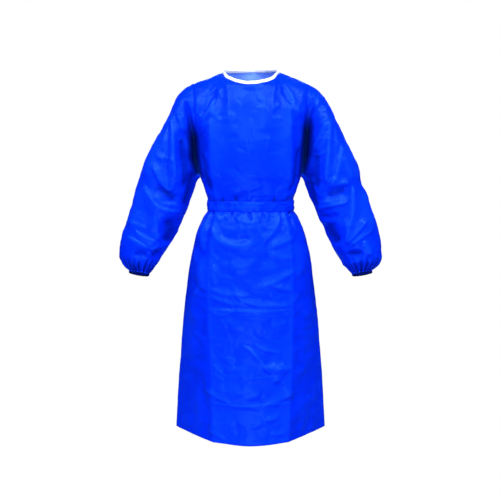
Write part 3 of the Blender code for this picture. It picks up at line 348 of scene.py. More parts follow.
BACK_CREASES = (
    # left sleeve, on -X
    (((-0.265, -0.125), (-0.255, -0.215), (-0.25, -0.3), (-0.245, -0.365)), 0.02, 0.007, 0.35, 0.3),
    (((-0.265, -0.14), (-0.26, -0.23), (-0.25, -0.34)), 0.007, 0.0016, 0.9, 0),
    (((-0.225, -0.16), (-0.222, -0.25), (-0.215, -0.345)), 0.018, -0.006, 0.25, 0),
    (((-0.295, -0.17), (-0.3, -0.26), (-0.29, -0.32)), 0.018, -0.0045, 0.2, 0.2),
    (((-0.35, -0.375), (-0.315, -0.39), (-0.26, -0.405)), 0.014, 0.0055, 0.55, -0.3),
    (((-0.345, -0.375), (-0.345, -0.44), (-0.32, -0.485), (-0.255, -0.48)), 0.013, 0.0055, 0.5, 0.3),
    (((-0.33, -0.42), (-0.295, -0.44), (-0.265, -0.445)), 0.02, -0.0065, 0.2, 0),
    (((-0.31, -0.5), (-0.3, -0.54), (-0.31, -0.585)), 0.024, -0.0065, 0.2, 0),
    (((-0.4, -0.53), (-0.37, -0.555), (-0.325, -0.57)), 0.01, 0.003, 0.7, 0.3),
    (((-0.385, -0.5), (-0.35, -0.52), (-0.32, -0.525)), 0.009, 0.0025, 0.8, -0.3),
    (((-0.36, -0.6), (-0.335, -0.6)), 0.014, -0.0045, 0.3, 0),
    (((-0.33, -0.25), (-0.345, -0.31), (-0.365, -0.36)), 0.018, 0.0025, 0.2, 0),
    # right sleeve, on +X
    (((0.26, -0.135), (0.262, -0.22), (0.25, -0.3), (0.248, -0.355)), 0.02, 0.007, 0.35, -0.3),
    (((0.262, -0.16), (0.258, -0.26), (0.25, -0.345)), 0.007, 0.0016, 0.9, 0),
    (((0.222, -0.15), (0.22, -0.24), (0.212, -0.34)), 0.018, -0.006, 0.25, 0),
    (((0.3, -0.18), (0.295, -0.25), (0.285, -0.31)), 0.018, -0.0045, 0.2, 0),
    (((0.355, -0.39), (0.32, -0.405), (0.255, -0.4)), 0.014, 0.0055, 0.55, 0.3),
    (((0.345, -0.39), (0.35, -0.455), (0.33, -0.5)), 0.012, 0.005, 0.6, 0),
    (((0.33, -0.43), (0.295, -0.445), (0.26, -0.46)), 0.02, -0.0065, 0.2, 0),
    (((0.3, -0.49), (0.29, -0.53), (0.305, -0.57)), 0.024, -0.0065, 0.2, 0),
    (((0.405, -0.52), (0.37, -0.54), (0.33, -0.57)), 0.01, 0.0032, 0.7, 0.3),
    (((0.39, -0.47), (0.36, -0.49), (0.31, -0.5)), 0.01, 0.003, 0.6, -0.3),
    (((0.365, -0.595), (0.34, -0.6)), 0.014, -0.0045, 0.3, 0),
    (((0.335, -0.26), (0.35, -0.32), (0.37, -0.37)), 0.018, 0.0025, 0.2, 0),
    # upper back
    (((-0.14, -0.09), (-0.155, -0.17), (-0.15, -0.25)), 0.014, -0.0045, 0.3, 0.2),
    (((-0.125, -0.12), (-0.14, -0.2), (-0.13, -0.3)), 0.014, 0.0035, 0.3, 0),
    (((0.14, -0.095), (0.155, -0.16), (0.15, -0.24)), 0.014, -0.0045, 0.3, -0.2),
    (((0.125, -0.13), (0.135, -0.21), (0.13, -0.29)), 0.014, 0.0035, 0.3, 0),
    (((-0.1, -0.33), (-0.07, -0.37), (-0.06, -0.41)), 0.014, 0.0025, 0.4, 0),
    (((0.1, -0.34), (0.075, -0.38), (0.06, -0.412)), 0.014, 0.0025, 0.4, 0),
    # skirt
    (((-0.12, -0.5), (-0.1, -0.53), (-0.05, -0.555), (0.005, -0.56)), 0.014, 0.0045, 0.5, -0.4),
    (((0.12, -0.49), (0.105, -0.525), (0.06, -0.545)), 0.012, 0.004, 0.5, 0.4),
    (((-0.14, -0.49), (-0.155, -0.55), (-0.165, -0.61)), 0.016, 0.005, 0.4, 0.2),
    (((0.14, -0.49), (0.15, -0.545), (0.155, -0.6)), 0.016, 0.005, 0.4, -0.2),
    (((-0.09, -0.47), (-0.085, -0.5)), 0.007, -0.0035, 0.6, 0),
    (((0.07, -0.47), (0.072, -0.51)), 0.007, -0.0035, 0.6, 0),
    (((0.1, -0.62), (0.07, -0.66), (0.02, -0.68)), 0.012, 0.0035, 0.5, 0.3),
    (((-0.11, -0.64), (-0.08, -0.7), (-0.03, -0.73)), 0.012, 0.0035, 0.5, -0.3),
    (((-0.12, -0.88), (-0.06, -0.91), (-0.03, -0.97)), 0.011, 0.0034, 0.6, -0.3),
    (((0.12, -0.94), (0.07, -0.96), (0.05, -0.99)), 0.01, 0.003, 0.6, 0.3),
    (((-0.19, -0.72), (-0.195, -0.85), (-0.19, -0.96)), 0.028, 0.0025, 0.15, 0),
    (((0.19, -0.74), (0.195, -0.86), (0.19, -0.98)), 0.028, 0.0025, 0.15, 0),
    # level packing creases
    (((-0.13, -0.775), (-0.05, -0.776), (0.06, -0.774), (0.13, -0.775)), 0.012, 0.0032, 0.9, 0.5),
    (((-0.13, -0.99), (-0.04, -0.989), (0.05, -0.991), (0.13, -0.99)), 0.009, 0.0016, 0.9, 0.4),
    (((-0.13, -1.08), (-0.05, -1.081), (0.04, -1.079), (0.13, -1.08)), 0.012, 0.0034, 0.9, 0.5),
)
CREASES = {"front": FRONT_CREASES, "back": BACK_CREASES}
PATH_STEPS = 6               # straight steps that a crease's curve gets between two of its points
CREASE_ENDS = 0.22           # share of a crease's length over which each end fades out
CREASE_SPREAD = 1.45         # how wide a crease is at its middle, in widths of the table
CREASE_POINT = 0.25          # how wide its ends are beside its middle
CREASE_FULL = 0.7            # power of the curve between them: the lower, the longer it stays wide
FACING = (0.02, 0.35)        # how far the cloth faces front or back where its creases start and are whole
BELT_CALM = (0.0165, 0.0235) # how far from the belt's middle the cloth starts to crease and creases fully
SIDE_CALM = 0.65             # share of the creasing that is missing at the side seams
SIDE_REACH = (0.70, 1.0)

# How pale the painted sheen along the creases is, and how dark the painted shade in their troughs.
LINE_WIDTH = 0.0050          # of the pale line along a sharp crease
RISE_PALE = 0.70             # of the whole ridge beside its line
PALE_HEIGHT = 0.005          # of a crease whose line is fully pale
DARK_DEPTH = (0.002, 0.012)  # how deep a trough is where it starts to darken and is fully dark
EDGE_DARK = 3.0              # how much nearer to the outline troughs keep their darkness than their depth
TROUGH_SHADE = 0.44          # share of a tuck's painted shade that a trough has
FOLD_PALE = 0.50             # of the long creases, beside 1 for the sharpest others
FOLD_RIDGE = 0.0035          # how far the long creases stand out, and how far that reaches to either side
FOLD_REACH = 0.024
FOLD_TOP = (-0.14, -0.08)    # where they start to fade towards the neck, and where they end
PANEL_PALE = (               # z, and how pale the flat middle panel is there, where it catches the light
    (-1.21, 1.00), (-1.06, 0.62), (-0.90, 0.35), (-0.62, 0.20), (-0.50, 0.10), (-0.36, 0.05), (-0.30, 0.60),
    (-0.15, 0.75), (-0.10, 0.0),
)
PANEL_ROUND = 0.75           # share of it that is missing in the panel's middle
PANEL_EDGE = (0.2, 1.0)      # from the panel's middle to its long crease: where it returns and is whole

# Crumpling: size of its cells, height of its swells, and height of its thin ridges.
CRUMPLES = ((0.110, 0.0036, 0.0024), (0.058, 0.0015, 0.0020), (0.028, 0.0006, 0.0010))
CRUMPLE_STRETCH = (1.25, 1.0, 0.8)    # of their cells: wider than high
CRUMPLE_WARP = 0.45                   # of a cell, by which their lines wander
WARP_FINE = 1.3                       # cells of that wandering to one of theirs
RIDGE_FINE = 0.8                      # and of the ridges' own
RIDGE_LEVEL = 0.6                     # how much of a ridge stands out, beside what lies low
CHEST_CALM = 0.6                      # share of it that is missing on the chest, which is smoother
CHEST_SIDE = (0.10, 0.15)             # how far from the middle the chest starts to end and ends
CHEST_FRONT = (0.02, 0.06)            # and how far to the front it starts and is whole
CHEST_FOOT = (-0.42, -0.34)
CHEST_TOP = (-0.10, -0.04)
# Painted sheen on the swells' tops.
SWELL_PALE = 0.45                     # how pale the swells' tops are, and at which heights that starts
SWELL_RISE = (0.001, 0.006)           # and is whole
# Small straight creases in every direction, drawn from a fixed seed.
SMALL_CREASES = 420          # on each face
SMALL_SEED = 11
SMALL_FIELD = ((-0.44, HEM_Z), (0.44, 0.0))
SMALL_LENGTH = (0.015, 0.075)
SMALL_WIDTH = (0.007, 0.020)
SMALL_HEIGHT = 0.0024
SMALL_SHARES = (0.35, 1.0)   # of that height
SMALL_SIGNS = (-1, 1, 1)     # one trough to two ridges
SMALL_CRISP = (0.5, 0.95)
SMALL_LEAN = (-0.6, 0.6)
PUCKER_PITCH = 0.016         # along the belt
PUCKER_REACH = 0.024         # up and down from its edges
PUCKER_STRETCH = 0.7         # how far they change on the way, in pitches
PUCKER_APART = 5             # pitches between those above and below the belt, which are unlike
PUCKER_HEIGHT = 0.0026
PUCKER_DARK = 0.9            # painted shade in valleys between puckers that are this deep
PUCKER_DEEP = (0.0005, 0.0015)
WAIST_RADIUS = 0.13
SEAM_REACH = 0.006           # of the groove beside a sewn seam
SEAM_DEPTH = 0.0011
SEAM_PUCKER = 0.0008
SEAM_PUCKER_REACH = 0.018
SEAM_PITCH = 0.011

# Noise: what is left of a sine times this, whole numbers taken off, is as good as chance.
NOISE_DIRECTION = np.array([12.9898, 78.233, 37.719])
NOISE_STEP = 43758.5453
# Where each noise is read, so that no two look alike. A second number is the step to the next size.
SEEDS = {
    "warp": 21.7, "swell": (0.0, 3.7), "ridge": (11.3, 5.1), "pucker": 2.3, "seam": 6.1, "binding": 4.2,
    "belt": 1.7, "belt_fine": 8.1, "belt_coarse": 5.5, "belt_fold": 9.4, "belt_edge": 3.1, "tail": 2.9,
}

BELT_STEPS = 14
BELT_OFF = 0.0019            # from the cloth's outer face to the belt's
BELT_CLOTH = 0.0012
BELT_WRINKLE = 0.0014        # height of the wrinkles that run along it
BELT_CELL = (0.034, 0.034, 0.0105)    # their size round the waist and upwards
BELT_FINE = (2.2, 2.2, 1.9)           # how many times finer the small ones are
BELT_FINE_SHARE = 0.5
BELT_COARSE_CELL = 0.035
BELT_COARSE_SHARE = 0.8
BELT_FOLD_CELL = (0.022, 0.022, 0.016)
BELT_FOLD_LEVEL = 0.9                 # how high the belt stands between its sharp folds, and their depth
BELT_FOLD_SHARE = 2.2
BELT_HEM_POWER = 3                    # how close to its edges the wrinkles fade, and how low the edges lie
BELT_HEM_DROP = 0.0004
BELT_RISE = (-0.0002, 0.0018)         # wrinkles' tops, from where their painted sheen starts to where it is whole
BELT_EDGE = 0.0011                    # how uneven the belt's edges are, and in how many waves to a metre
BELT_EDGE_WAVES = (28, 28, 0)
BINDING_HEIGHT = 0.0105
BINDING_WALL = 0.0024
BINDING_PROUD = 0.0003       # how far its middle stands out from the cloth's
BINDING_UPRIGHT = 0.40       # share of straight up in the way that it leans
BINDING_ROUND = 16           # points round the binding's own section, and the power of its squared shape
BINDING_SQUARE = 0.55
BINDING_RIPPLE = 0.16        # of its thickness, and the length of a ripple
BINDING_PITCH = 0.009
# The ties behind: their knot's size, how far it sits off what it lies on and above its tails, and each
# tail's middle and width at even steps down to its end.
TIES = {
    "neck": {
        "kind": "tape", "slot": "binding", "wall": 0.0012, "width": (0.006, 0.008, 0.010, 0.010),
        "knot": {"width": 0.012, "depth": 0.009, "height": 0.013, "seat": 0.0010, "drop": 0.0006},
        "left": {"x": (0.004, 0.007, 0.014, 0.019), "to_z": -0.138},
        "right": {"x": (-0.004, -0.006, -0.010, -0.012), "to_z": -0.115},
    },
    "belt": {
        "kind": "cloth", "slot": "cloth", "wall": BELT_CLOTH, "width": (0.014, 0.020, 0.028, 0.030),
        "knot": {"width": 0.032, "depth": 0.017, "height": 0.036, "seat": 0.0004, "drop": 0.0011},
        "left": {"x": (0.009, 0.014, 0.030, 0.046), "to_z": -0.700},
        "right": {"x": (-0.009, -0.013, -0.026, -0.036), "to_z": -0.672},
    },
}
KNOT_ABOVE_BELT = 0.0007     # from the band's face to the middle of the knot's foot
KNOT_ROWS, KNOT_COLUMNS = 33, 60
KNOT_SQUARE = 0.62           # power of its squared shape
KNOT_WRAPS = 3
KNOT_SLANTS = ((1, 0.9, math.pi / 2), (2, 0.4, 0.0))    # waves in its turns, as in GATHER_DRIFT
KNOT_GROOVE = 0.10           # depth of the grooves between its turns, as a share of the knot's half size
TAIL_STAND = 0.45            # of the knot's depth, at which a tail leaves it
TAIL_SETTLE = 0.050          # how far down it has come to lie on the back
TAIL_STEP = 0.0025
TAIL_ACROSS = 12
TAIL_CURL = 0.0012           # how far its edges curl up, and over which share of its length that starts
TAIL_CURL_FROM = (0.1, 0.6)
TAIL_WAVE = 0.6              # height of its wave in curls, and the wave's length across and down
TAIL_WAVE_CELL = (0.02, 0.035)
LYING_REACH = 0.110          # how far from the middle the tails may lie

# Finishes: linear colours, and noises by scale to a metre, detail and roughness.
BLUE_DEEP = (0.0, 0.0155, 0.62, 1)
BLUE_LIGHT = (0.0, 0.0185, 0.69, 1)
# colour of dense fibres, and of the painted sheen on creases, ridges and swells
BLUE_PALE = (0.0015, 0.038, 0.80, 1)
# painted shade, for tucks, troughs, the wrist's gathers and the valleys between puckers
BLUE_SHADE = (0.0, 0.0016, 0.02, 1)
# the inside skin: partly its own lighter face, partly painted light that comes through the thin cloth
BLUE_INSIDE = (0.14, 0.27, 0.72, 1)
BLUE_SHEEN = (0.15, 0.90, 1.0, 1)
NO_GLOW = (0, 0, 0, 1)
GLOW_INSIDE = (0.02, 0.05, 0.22, 1)       # light that comes through the thin cloth
BLUE_GLOSS = 0.09
BLUE_ROUGH = (0.27, 0.37)
BLUE_CLOUD = {"scale": 9.0, "detail": 4.0, "rough": 0.55}
BLUE_CLOUDY = (0.35, 0.65)                # of that noise, from the deep blue to the light one
USUAL = (0.3, 0.7)                        # where most of a noise lies
CRINKLES = {"scale": 34.0, "detail": 3.0, "rough": 0.5, "stretch": (1.0, 1.0, 0.7), "Distortion": 0.6}
CRINKLE_BUMP = {"Strength": 0.38, "Distance": 0.0016}
CLOTH_BUMP = {"Strength": 0.25, "Distance": 0.00008}
FIBRES_PALE = 0.16                        # how pale dense fibres are, and how much painted sheen whole creases get, of 1
CREASE_PALE = 0.8
TUCK_DARK_AT = (0.07, 0.8)                # tucks' marks, from where their painted shade starts to where it is whole
TUCK_SHADE = 0.96
CLOTH_BONDS = 700.0                       # to a metre
TAPE_BONDS = 900.0
BOND_TURN = math.pi / 4                   # they stand in slanting rows
BOND_SIZE = (0.18, 0.34)                  # of their pitch: a bond's flat, and the end of its slope
FIBRES = {"scale": 900.0, "detail": 4.0, "rough": 0.7, "stretch": (1.0, 0.35, 1.0)}
CLUMPS = {"scale": 260.0, "detail": 2.0, "rough": 0.6}
WHITE = (0.80, 0.82, 0.85, 1)
WHITE_SHADE = (0.62, 0.64, 0.69, 1)
WHITE_GLOSS = 0.3
WHITE_ROUGH = (0.55, 0.70)
WHITE_CLOUD = {"scale": 120.0, "detail": 3.0, "rough": 0.6}
FIBRES_GREY = 0.25
PUFF_BUMP = {"Strength": 0.4, "Distance": 0.0008}
TAPE_BUMP = {"Strength": 0.3, "Distance": 0.0001}
FLOOR_DULL = (0.03, 0.16, 0.34, 1)
FLOOR_PALE = (0.04, 0.19, 0.38, 1)
FLOOR_ROUGH = 0.9
FLOOR_GLOSS = 0.1
FLOOR_CLOUD = {"scale": 0.6, "detail": 2.0, "rough": 0.5}

# The view and the studio.
CAMERA_AT = (-0.002, -3.0, -0.255)
LOOKED_AT = (-0.002, 0.0, -0.595)
LENS = 63.94
SENSOR = 36.0
FLOOR_Z = -1.50
FLOOR_SIZE = 400.0
SKY = (1.0, 1.0, 1.0, 1)             # the surround as the camera sees it
DOME = (0.02, 0.12, 0.34, 1)         # and as it lights the gown
NEUTRAL = (1.0, 1.0, 1.0)
COOL = (0.6, 0.8, 1.0)
LAMPS = (
    # place,               size, watts, what it shines at, colour
    ((0.0, -2.0, 2.6), (3.2, 1.6), 168.0, (0.0, 0.0, -0.60), NEUTRAL),
    ((0.0, -3.3, 0.9), (3.4, 0.5), 48.0, (0.0, 0.0, -0.60), NEUTRAL),
    ((0.0, -2.2, -1.35), (2.2, 0.3), 22.0, (0.0, 0.0, -0.85), NEUTRAL),
    ((-1.4, -1.0, 1.3), (0.8, 0.8), 26.0, (-0.3, 0.0, -0.40), NEUTRAL),
    ((1.4, -1.0, 1.3), (0.8, 0.8), 26.0, (0.3, 0.0, -0.40), NEUTRAL),
    ((0.0, 3.4, 1.5), (3.0, 2.0), 150.0, (0.0, 0.0, -0.50), COOL),
)


def smooth(x, xs, ys):
    """A curve through (xs, ys) with no overshoot: cubic pieces whose slopes follow their neighbours'."""
    xs, ys, x = (np.asarray(v, float) for v in (xs, ys, x))
    step = np.diff(xs)
    slope = np.diff(ys) / step
    near, far = 2 * step[1:] + step[:-1], step[1:] + 2 * step[:-1]
    same = slope[:-1] * slope[1:] > 0
    safe = np.where(same, slope[:-1] * slope[1:], 1.0)
    inner = (near + far) * safe / np.where(same, near * slope[1:] + far * slope[:-1], 1.0)
    ends = np.concatenate([slope[:1], np.where(same, inner, 0.0), slope[-1:]])
    k = np.clip(np.searchsorted(xs, x, side="right") - 1, 0, len(xs) - 2)
    t = (np.clip(x, xs[0], xs[-1]) - xs[k]) / step[k]
    return (
        ys[k] * (1 + 2 * t) * (1 - t) ** 2
        + step[k] * ends[k] * t * (1 - t) ** 2
        + ys[k + 1] * t**2 * (3 - 2 * t)
        + step[k] * ends[k + 1] * t**2 * (t - 1)
    )


def ramp(x, start, end):
    """0 before start, 1 after end, and a soft step between them."""
    t = np.clip((np.asarray(x, float) - start) / (end - start), 0, 1)
    return t * t * (3 - 2 * t)


def unit(v):
    """Vectors of length 1 that point the same way."""
    return v / np.maximum(np.linalg.norm(v, axis=-1, keepdims=True), TINY)


def lattice_noise(points, seed=0.0):
    """Smooth noise from -1 to 1: a fixed value at each corner of the unit cubes, blended between them."""
    place = points + seed
    cell = np.floor(place)
    part = place - cell
    part = part * part * (3 - 2 * part)
    total = np.zeros(points.shape[:-1])
    for corner in np.ndindex(2, 2, 2):
        at = cell + corner
        value = np.sin(at @ NOISE_DIRECTION) * NOISE_STEP
        share = np.prod(np.where(corner, part, 1 - part), axis=-1)
        total += (2 * (value - np.floor(value)) - 1) * share
    return total


def flat_middle(a):
    """From 0 at the middle of a panel to 1 at its crease: a power of the way, rounded off close to 0."""
    rounded = (a * a + MIDDLE_ROUND**2) ** (MIDDLE_POWER / 2) - MIDDLE_ROUND**MIDDLE_POWER
    return rounded / ((1 + MIDDLE_ROUND**2) ** (MIDDLE_POWER / 2) - MIDDLE_ROUND**MIDDLE_POWER)


def level_section(z, share, face):
    """A point of the body below the armpit: an arc over the middle, then one from the crease to the side."""
    z, share = np.broadcast_arrays(np.asarray(z, float), np.asarray(share, float))
    side, bow = smooth(z, BODY["z"], BODY["side"]), smooth(z, BODY["z"], BODY["bow"])
    depth = smooth(z, BODY["z"], BODY[face])
    fold_x = smooth(z, BODY["z"], BODY[face + "_fold"])
    fold_y = smooth(z, BODY["z"], BODY[face + "_at"])
    s = np.abs(share)
    a = np.clip(s / CREASE_SHARE, 0, 1)
    b = np.clip((s - CREASE_SHARE) / (1 - CREASE_SHARE), 0, 1)
    chord = np.hypot(side - fold_x, fold_y)
    out = 4 * bow * b * (1 - b) / chord
    x = fold_x * a + (side - fold_x) * b + out * fold_y
    y = depth - (depth - fold_y) * flat_middle(a) - fold_y * b + out * (side - fold_x)
    sign = -1.0 if face == "front" else 1.0
    return np.stack([np.where(share < 0, -x, x), sign * y, z], axis=-1)


def top_edge(share, face):
    """The neckline, an arc from the middle to the shoulder seam, and then the seam down to the armhole."""
    share = np.asarray(share, float)
    s = np.abs(share)
    angle = np.clip(s / NECK_SHARE, 0, 1) * math.pi / 2
    k = np.clip((s - NECK_SHARE) / (1 - NECK_SHARE), 0, 1)
    neck = NECK[face]
    x = NECK_HALF_WIDTH * np.sin(angle) + (SHOULDER[0] - NECK_HALF_WIDTH) * k
    y = neck["depth"] * np.cos(angle) + SHOULDER[1] * k
    z = neck["height"] * np.cos(angle) ** NECK_DROP + SHOULDER[2] * k ** SHOULDER_DROP
    return np.stack([np.where(share < 0, -x, x), y, z], axis=-1)


def upper_body(rise, share, face):
    """A point above the armpit: a cubic curve from the armpit's level, rise 0, to the top edge, rise 1."""
    rise, share = np.broadcast_arrays(np.asarray(rise, float), np.asarray(share, float))
    s = np.abs(share)
    low, top, steep = (smooth(s, RISE_SHARES, RISE[face][name]) for name in ("low", "top", "steep"))
    turn = smooth(s, RISE_SHARES, RISE_TURN)
    sign = -1.0 if face == "front" else 1.0
    base = level_section(np.full(s.shape, ARMPIT[2]), share, face)
    below = level_section(np.full(s.shape, ARMPIT[2] - JUST_BELOW), share, face)
    up = unit(base - below)
    out = np.stack([np.zeros_like(s), np.full_like(s, sign), np.full_like(s, OUTWARD_RISE)], axis=-1)
    start = base + (unit(up * (1 - turn[..., None]) + out * turn[..., None])) * low[..., None]
    end = top_edge(share, face)
    angle = np.radians(steep)
    lean = np.stack([np.zeros_like(s), sign * np.cos(angle), -np.sin(angle)], axis=-1)
    before = end + lean * top[..., None]
    t = rise[..., None]
    return base * (1 - t) ** 3 + start * 3 * t * (1 - t) ** 2 + before * 3 * t**2 * (1 - t) + end * t**3


def body_heights():
    """The rows below the armpit: even steps from each level that needs a row of its own to the next."""
    levels = (HEM_Z, *PACKING_LEVELS, BELT_TOP - BELT_HEIGHT, BELT_TOP, ARMPIT[2])
    runs = [np.linspace(a, b, math.ceil((b - a) / ROW_STEP) + 1)[:-1] for a, b in zip(levels, levels[1:])]
    return np.concatenate(runs)


def body_grid(shares, face):
    """The panel's points, one row for each height from the hem up and one column for each share."""
    lower = level_section(body_heights()[:, None], shares[None], face)
    rises = np.linspace(0, 1, RISES + 1)[:, None]
    return np.concatenate([lower, eased(upper_body(rises, shares[None], face), rises, shares)])


def eased(grid, rises, shares):
    """The upper rows evened out across the columns below the neck point, where they would kink."""
    window = 1 - ramp(np.abs(np.abs(shares[1:-1]) - NECK_SHARE), *EASED_SHARES)
    weight = (ramp(1 - rises, 0, EASED_TOP) * ramp(rises, 0, EASED_FOOT) * window[None])[..., None]
    for _ in range(EASED_PASSES):
        even = (grid[:, :-2] + grid[:, 2:]) / 2 - grid[:, 1:-1]
        grid = np.concatenate([grid[:, :1], grid[:, 1:-1] + even * weight / 2, grid[:, -1:]], axis=1)
    return grid


def front_shares():
    """From the side seam on -X over the middle to the one on +X, as the front's columns run."""
    return np.linspace(-1, 1, 2 * HALF_COLUMNS + 1)


def back_shares():
    """From past the middle to the side seam of the back on +X. The other back is its mirror image."""
    return np.arange(-round(LAP_SHARE * HALF_COLUMNS), HALF_COLUMNS + 1) / HALF_COLUMNS


def mirrored(grid):
    """The same piece on the other side, with its columns turned round so that it still faces out."""
    return (grid * (-1, 1, 1))[:, ::-1]


def sleeve_angles():
    """Once round a sleeve, from its outer line over the front and back to it."""
    return np.linspace(0, 2 * math.pi, 2 * RISES + 1)


def armhole():
    """The ring round the left armhole: from the shoulder seam down the front, and up the back again."""
    rise = np.linspace(1, 0, RISES + 1)
    front = upper_body(rise, np.ones_like(rise), "front")
    back = upper_body(rise[::-1], np.ones_like(rise), "back")
    return np.concatenate([front, back[1:]])


def sleeve_section(along, angle):
    """Rings of the sleeve: ellipses between its outer line, at angle 0, and its inner line, front first."""
    at = {name: smooth(along, SLEEVE["along"], SLEEVE[name])[:, None] for name in SLEEVE if name != "along"}
    across, deep = np.cos(angle)[None], np.sin(angle)[None]
    x = (at["outer_x"] + at["inner_x"]) / 2 + (at["outer_x"] - at["inner_x"]) / 2 * across
    z = (at["outer_z"] + at["inner_z"]) / 2 + (at["outer_z"] - at["inner_z"]) / 2 * across
    y = at["middle_y"] - at["depth"] * deep
    return np.stack([x, y, z + at["lift"] * at["depth"] * deep], axis=-1)


def gather_lobes():
    """Round the wrist, 0 in a valley between two gathers and 1 on top of one: a folded, drifting sine."""
    angle = sleeve_angles()
    drift = sum(much * np.sin(times * angle + start) for times, much, start in GATHER_DRIFT)
    return np.abs(np.sin(GATHERS / 2 * angle + drift))


def gathered(rings, share):
    """Rings pushed in and out by their gathers: round lobes with sharp valleys, none quite like the next."""
    height = GATHER_RISE * gather_lobes() ** GATHER_ROUND - GATHER_DROP
    uneven = 1 - GATHER_UNEVEN * np.sin(GATHER_CHANGES * (sleeve_angles() - math.pi)) ** 2
    middle = rings[:, :-1].mean(axis=1, keepdims=True)
    return rings + unit(rings - middle) * (GATHER_DEPTH * share * height * uneven)[..., None]


def sleeve_grid():
    """The left sleeve: rings that start as the armhole and turn into the sleeve's own section."""
    along = np.linspace(0, 1, SLEEVE_STEPS + 1)
    angle = sleeve_angles()
    rings = sleeve_section(along, angle)
    fade = 1 - ramp(along, 0, ARMHOLE_EASE)
    rings += (armhole() - sleeve_section(np.zeros(1), angle)) * fade[:, None, None]
    start = GATHER_START + GATHER_WANDER * np.sin(4 * angle + 1) * np.cos(3 * angle)
    return gathered(rings, ramp(along[:, None], start[None], 1.0))


def cuff_grid():
    """The left cuff: the sleeve's last ring carried on square to itself, a narrow bulging casing."""
    ring = sleeve_section(np.ones(1), sleeve_angles())[0]
    half, quarter = RISES, RISES // 2
    onward = unit(np.cross(ring[half] - ring[0], ring[quarter] - ring[quarter + half]))
    onward *= np.sign(-onward[2])
    t = np.linspace(0, 1, CUFF_STEPS + 1)
    rings = ring[None] + onward * (t * CUFF_HEIGHT)[:, None, None]
    middle = rings[:, :-1].mean(axis=1, keepdims=True)
    rings = rings + unit(rings - middle) * (CUFF_BULGE * np.sin(math.pi * t))[:, None, None]
    share = 1 - (1 - CUFF_GATHER) * ramp(t, 0, CUFF_GATHER_AT)
    return gathered(rings, np.repeat(share[:, None], 2 * RISES + 1, axis=1))


def grid_faces(grid):
    """Triangles of a grid, split the short way. They face where rows go up and columns go to the right."""
    rows, columns = grid.shape[:2]
    k = np.arange(rows * columns).reshape(rows, columns)
    a, b, c, d = k[:-1, :-1].ravel(), k[:-1, 1:].ravel(), k[1:, 1:].ravel(), k[1:, :-1].ravel()
    points = grid.reshape(-1, 3)
    rising = np.linalg.norm(points[c] - points[a], axis=-1)
    falling = np.linalg.norm(points[d] - points[b], axis=-1)
    split = (rising < falling)[:, None]
    first = np.where(split, np.stack([a, b, c], -1), np.stack([a, b, d], -1))
    second = np.where(split, np.stack([a, c, d], -1), np.stack([b, c, d], -1))
    return np.concatenate([first, second])


def shared_normals(grids):
    """Normals at every point of these grids. Points that two grids share get one, so that seams match."""
    grids = list(grids)
    points = np.concatenate([g.reshape(-1, 3) for g in grids])
    starts = np.cumsum([0] + [g.shape[0] * g.shape[1] for g in grids])
    faces = np.concatenate([grid_faces(g) + start for g, start in zip(grids, starts)])
    edges = points[np.roll(faces, -1, axis=1)] - points[faces]
    flat = unit(np.cross(edges[:, 0], edges[:, 1]))
    before = -np.roll(edges, 1, axis=1)
    corner = np.arccos(np.clip(np.sum(unit(edges) * unit(before), axis=-1), -1, 1))
    _, same = np.unique(np.round(points / SAME_PLACE + SAME_SHIFT), axis=0, return_inverse=True)
    same = same.reshape(-1)
    pull = flat[:, None] * corner[..., None]
    total = np.stack([np.bincount(same[faces].ravel(), pull[..., k].ravel()) for k in range(3)], axis=-1)
    normals = unit(total)[same]
    return [normals[a:b].reshape(g.shape) for g, a, b in zip(grids, starts, starts[1:])]


def crease(place, path, width, height, crisp, lean):
    """Height of one crease at each (x, z), and how pale the painted sheen on its line and its ridge is there.

    The profile falls from its line to nothing at its width, as a soft bump or as a sharp fold. Leaning
    widens one side and narrows the other. A crease is widest in its middle, and its ends fade out.
    """
    corners = np.array(path)
    reach = np.concatenate([[0], np.cumsum(np.linalg.norm(np.diff(corners, axis=0), axis=-1))])
    step = np.linspace(0, reach[-1], PATH_STEPS * (len(path) - 1) + 1)
    line = np.stack([smooth(step, reach, corners[:, k]) for k in (0, 1)], axis=-1)
    start, run = line[:-1], np.diff(line, axis=0)
    offset = place[:, None] - start[None]
    share = np.clip(np.sum(offset * run, axis=-1) / np.sum(run * run, axis=-1), 0, 1)
    away = offset - share[..., None] * run
    distance = np.linalg.norm(away, axis=-1)
    nearest = np.argmin(distance, axis=1)
    at = (np.arange(len(place)), nearest)
    distance, share, away, run = distance[at], share[at], away[at], run[nearest]
    side = np.sign(run[:, 0] * away[:, 1] - run[:, 1] * away[:, 0])
    progress = (nearest + share) / (len(line) - 1)
    ends = ramp(progress, 0, CREASE_ENDS) * ramp(1 - progress, 0, CREASE_ENDS)
    fullness = np.sin(math.pi * np.clip(progress, 0, 1)) ** CREASE_FULL
    spread = CREASE_SPREAD * (CREASE_POINT + (1 - CREASE_POINT) * fullness)
    q = np.clip(distance / (width * spread * (1 + lean * side)), 0, 1)
    profile = (1 - crisp) * (1 - q * q) ** 2 + crisp * (1 - q) ** 2
    pale = crisp**2 * np.exp(-((distance / LINE_WIDTH) ** 2)) + RISE_PALE * profile
    return height * profile * ends, pale * ends


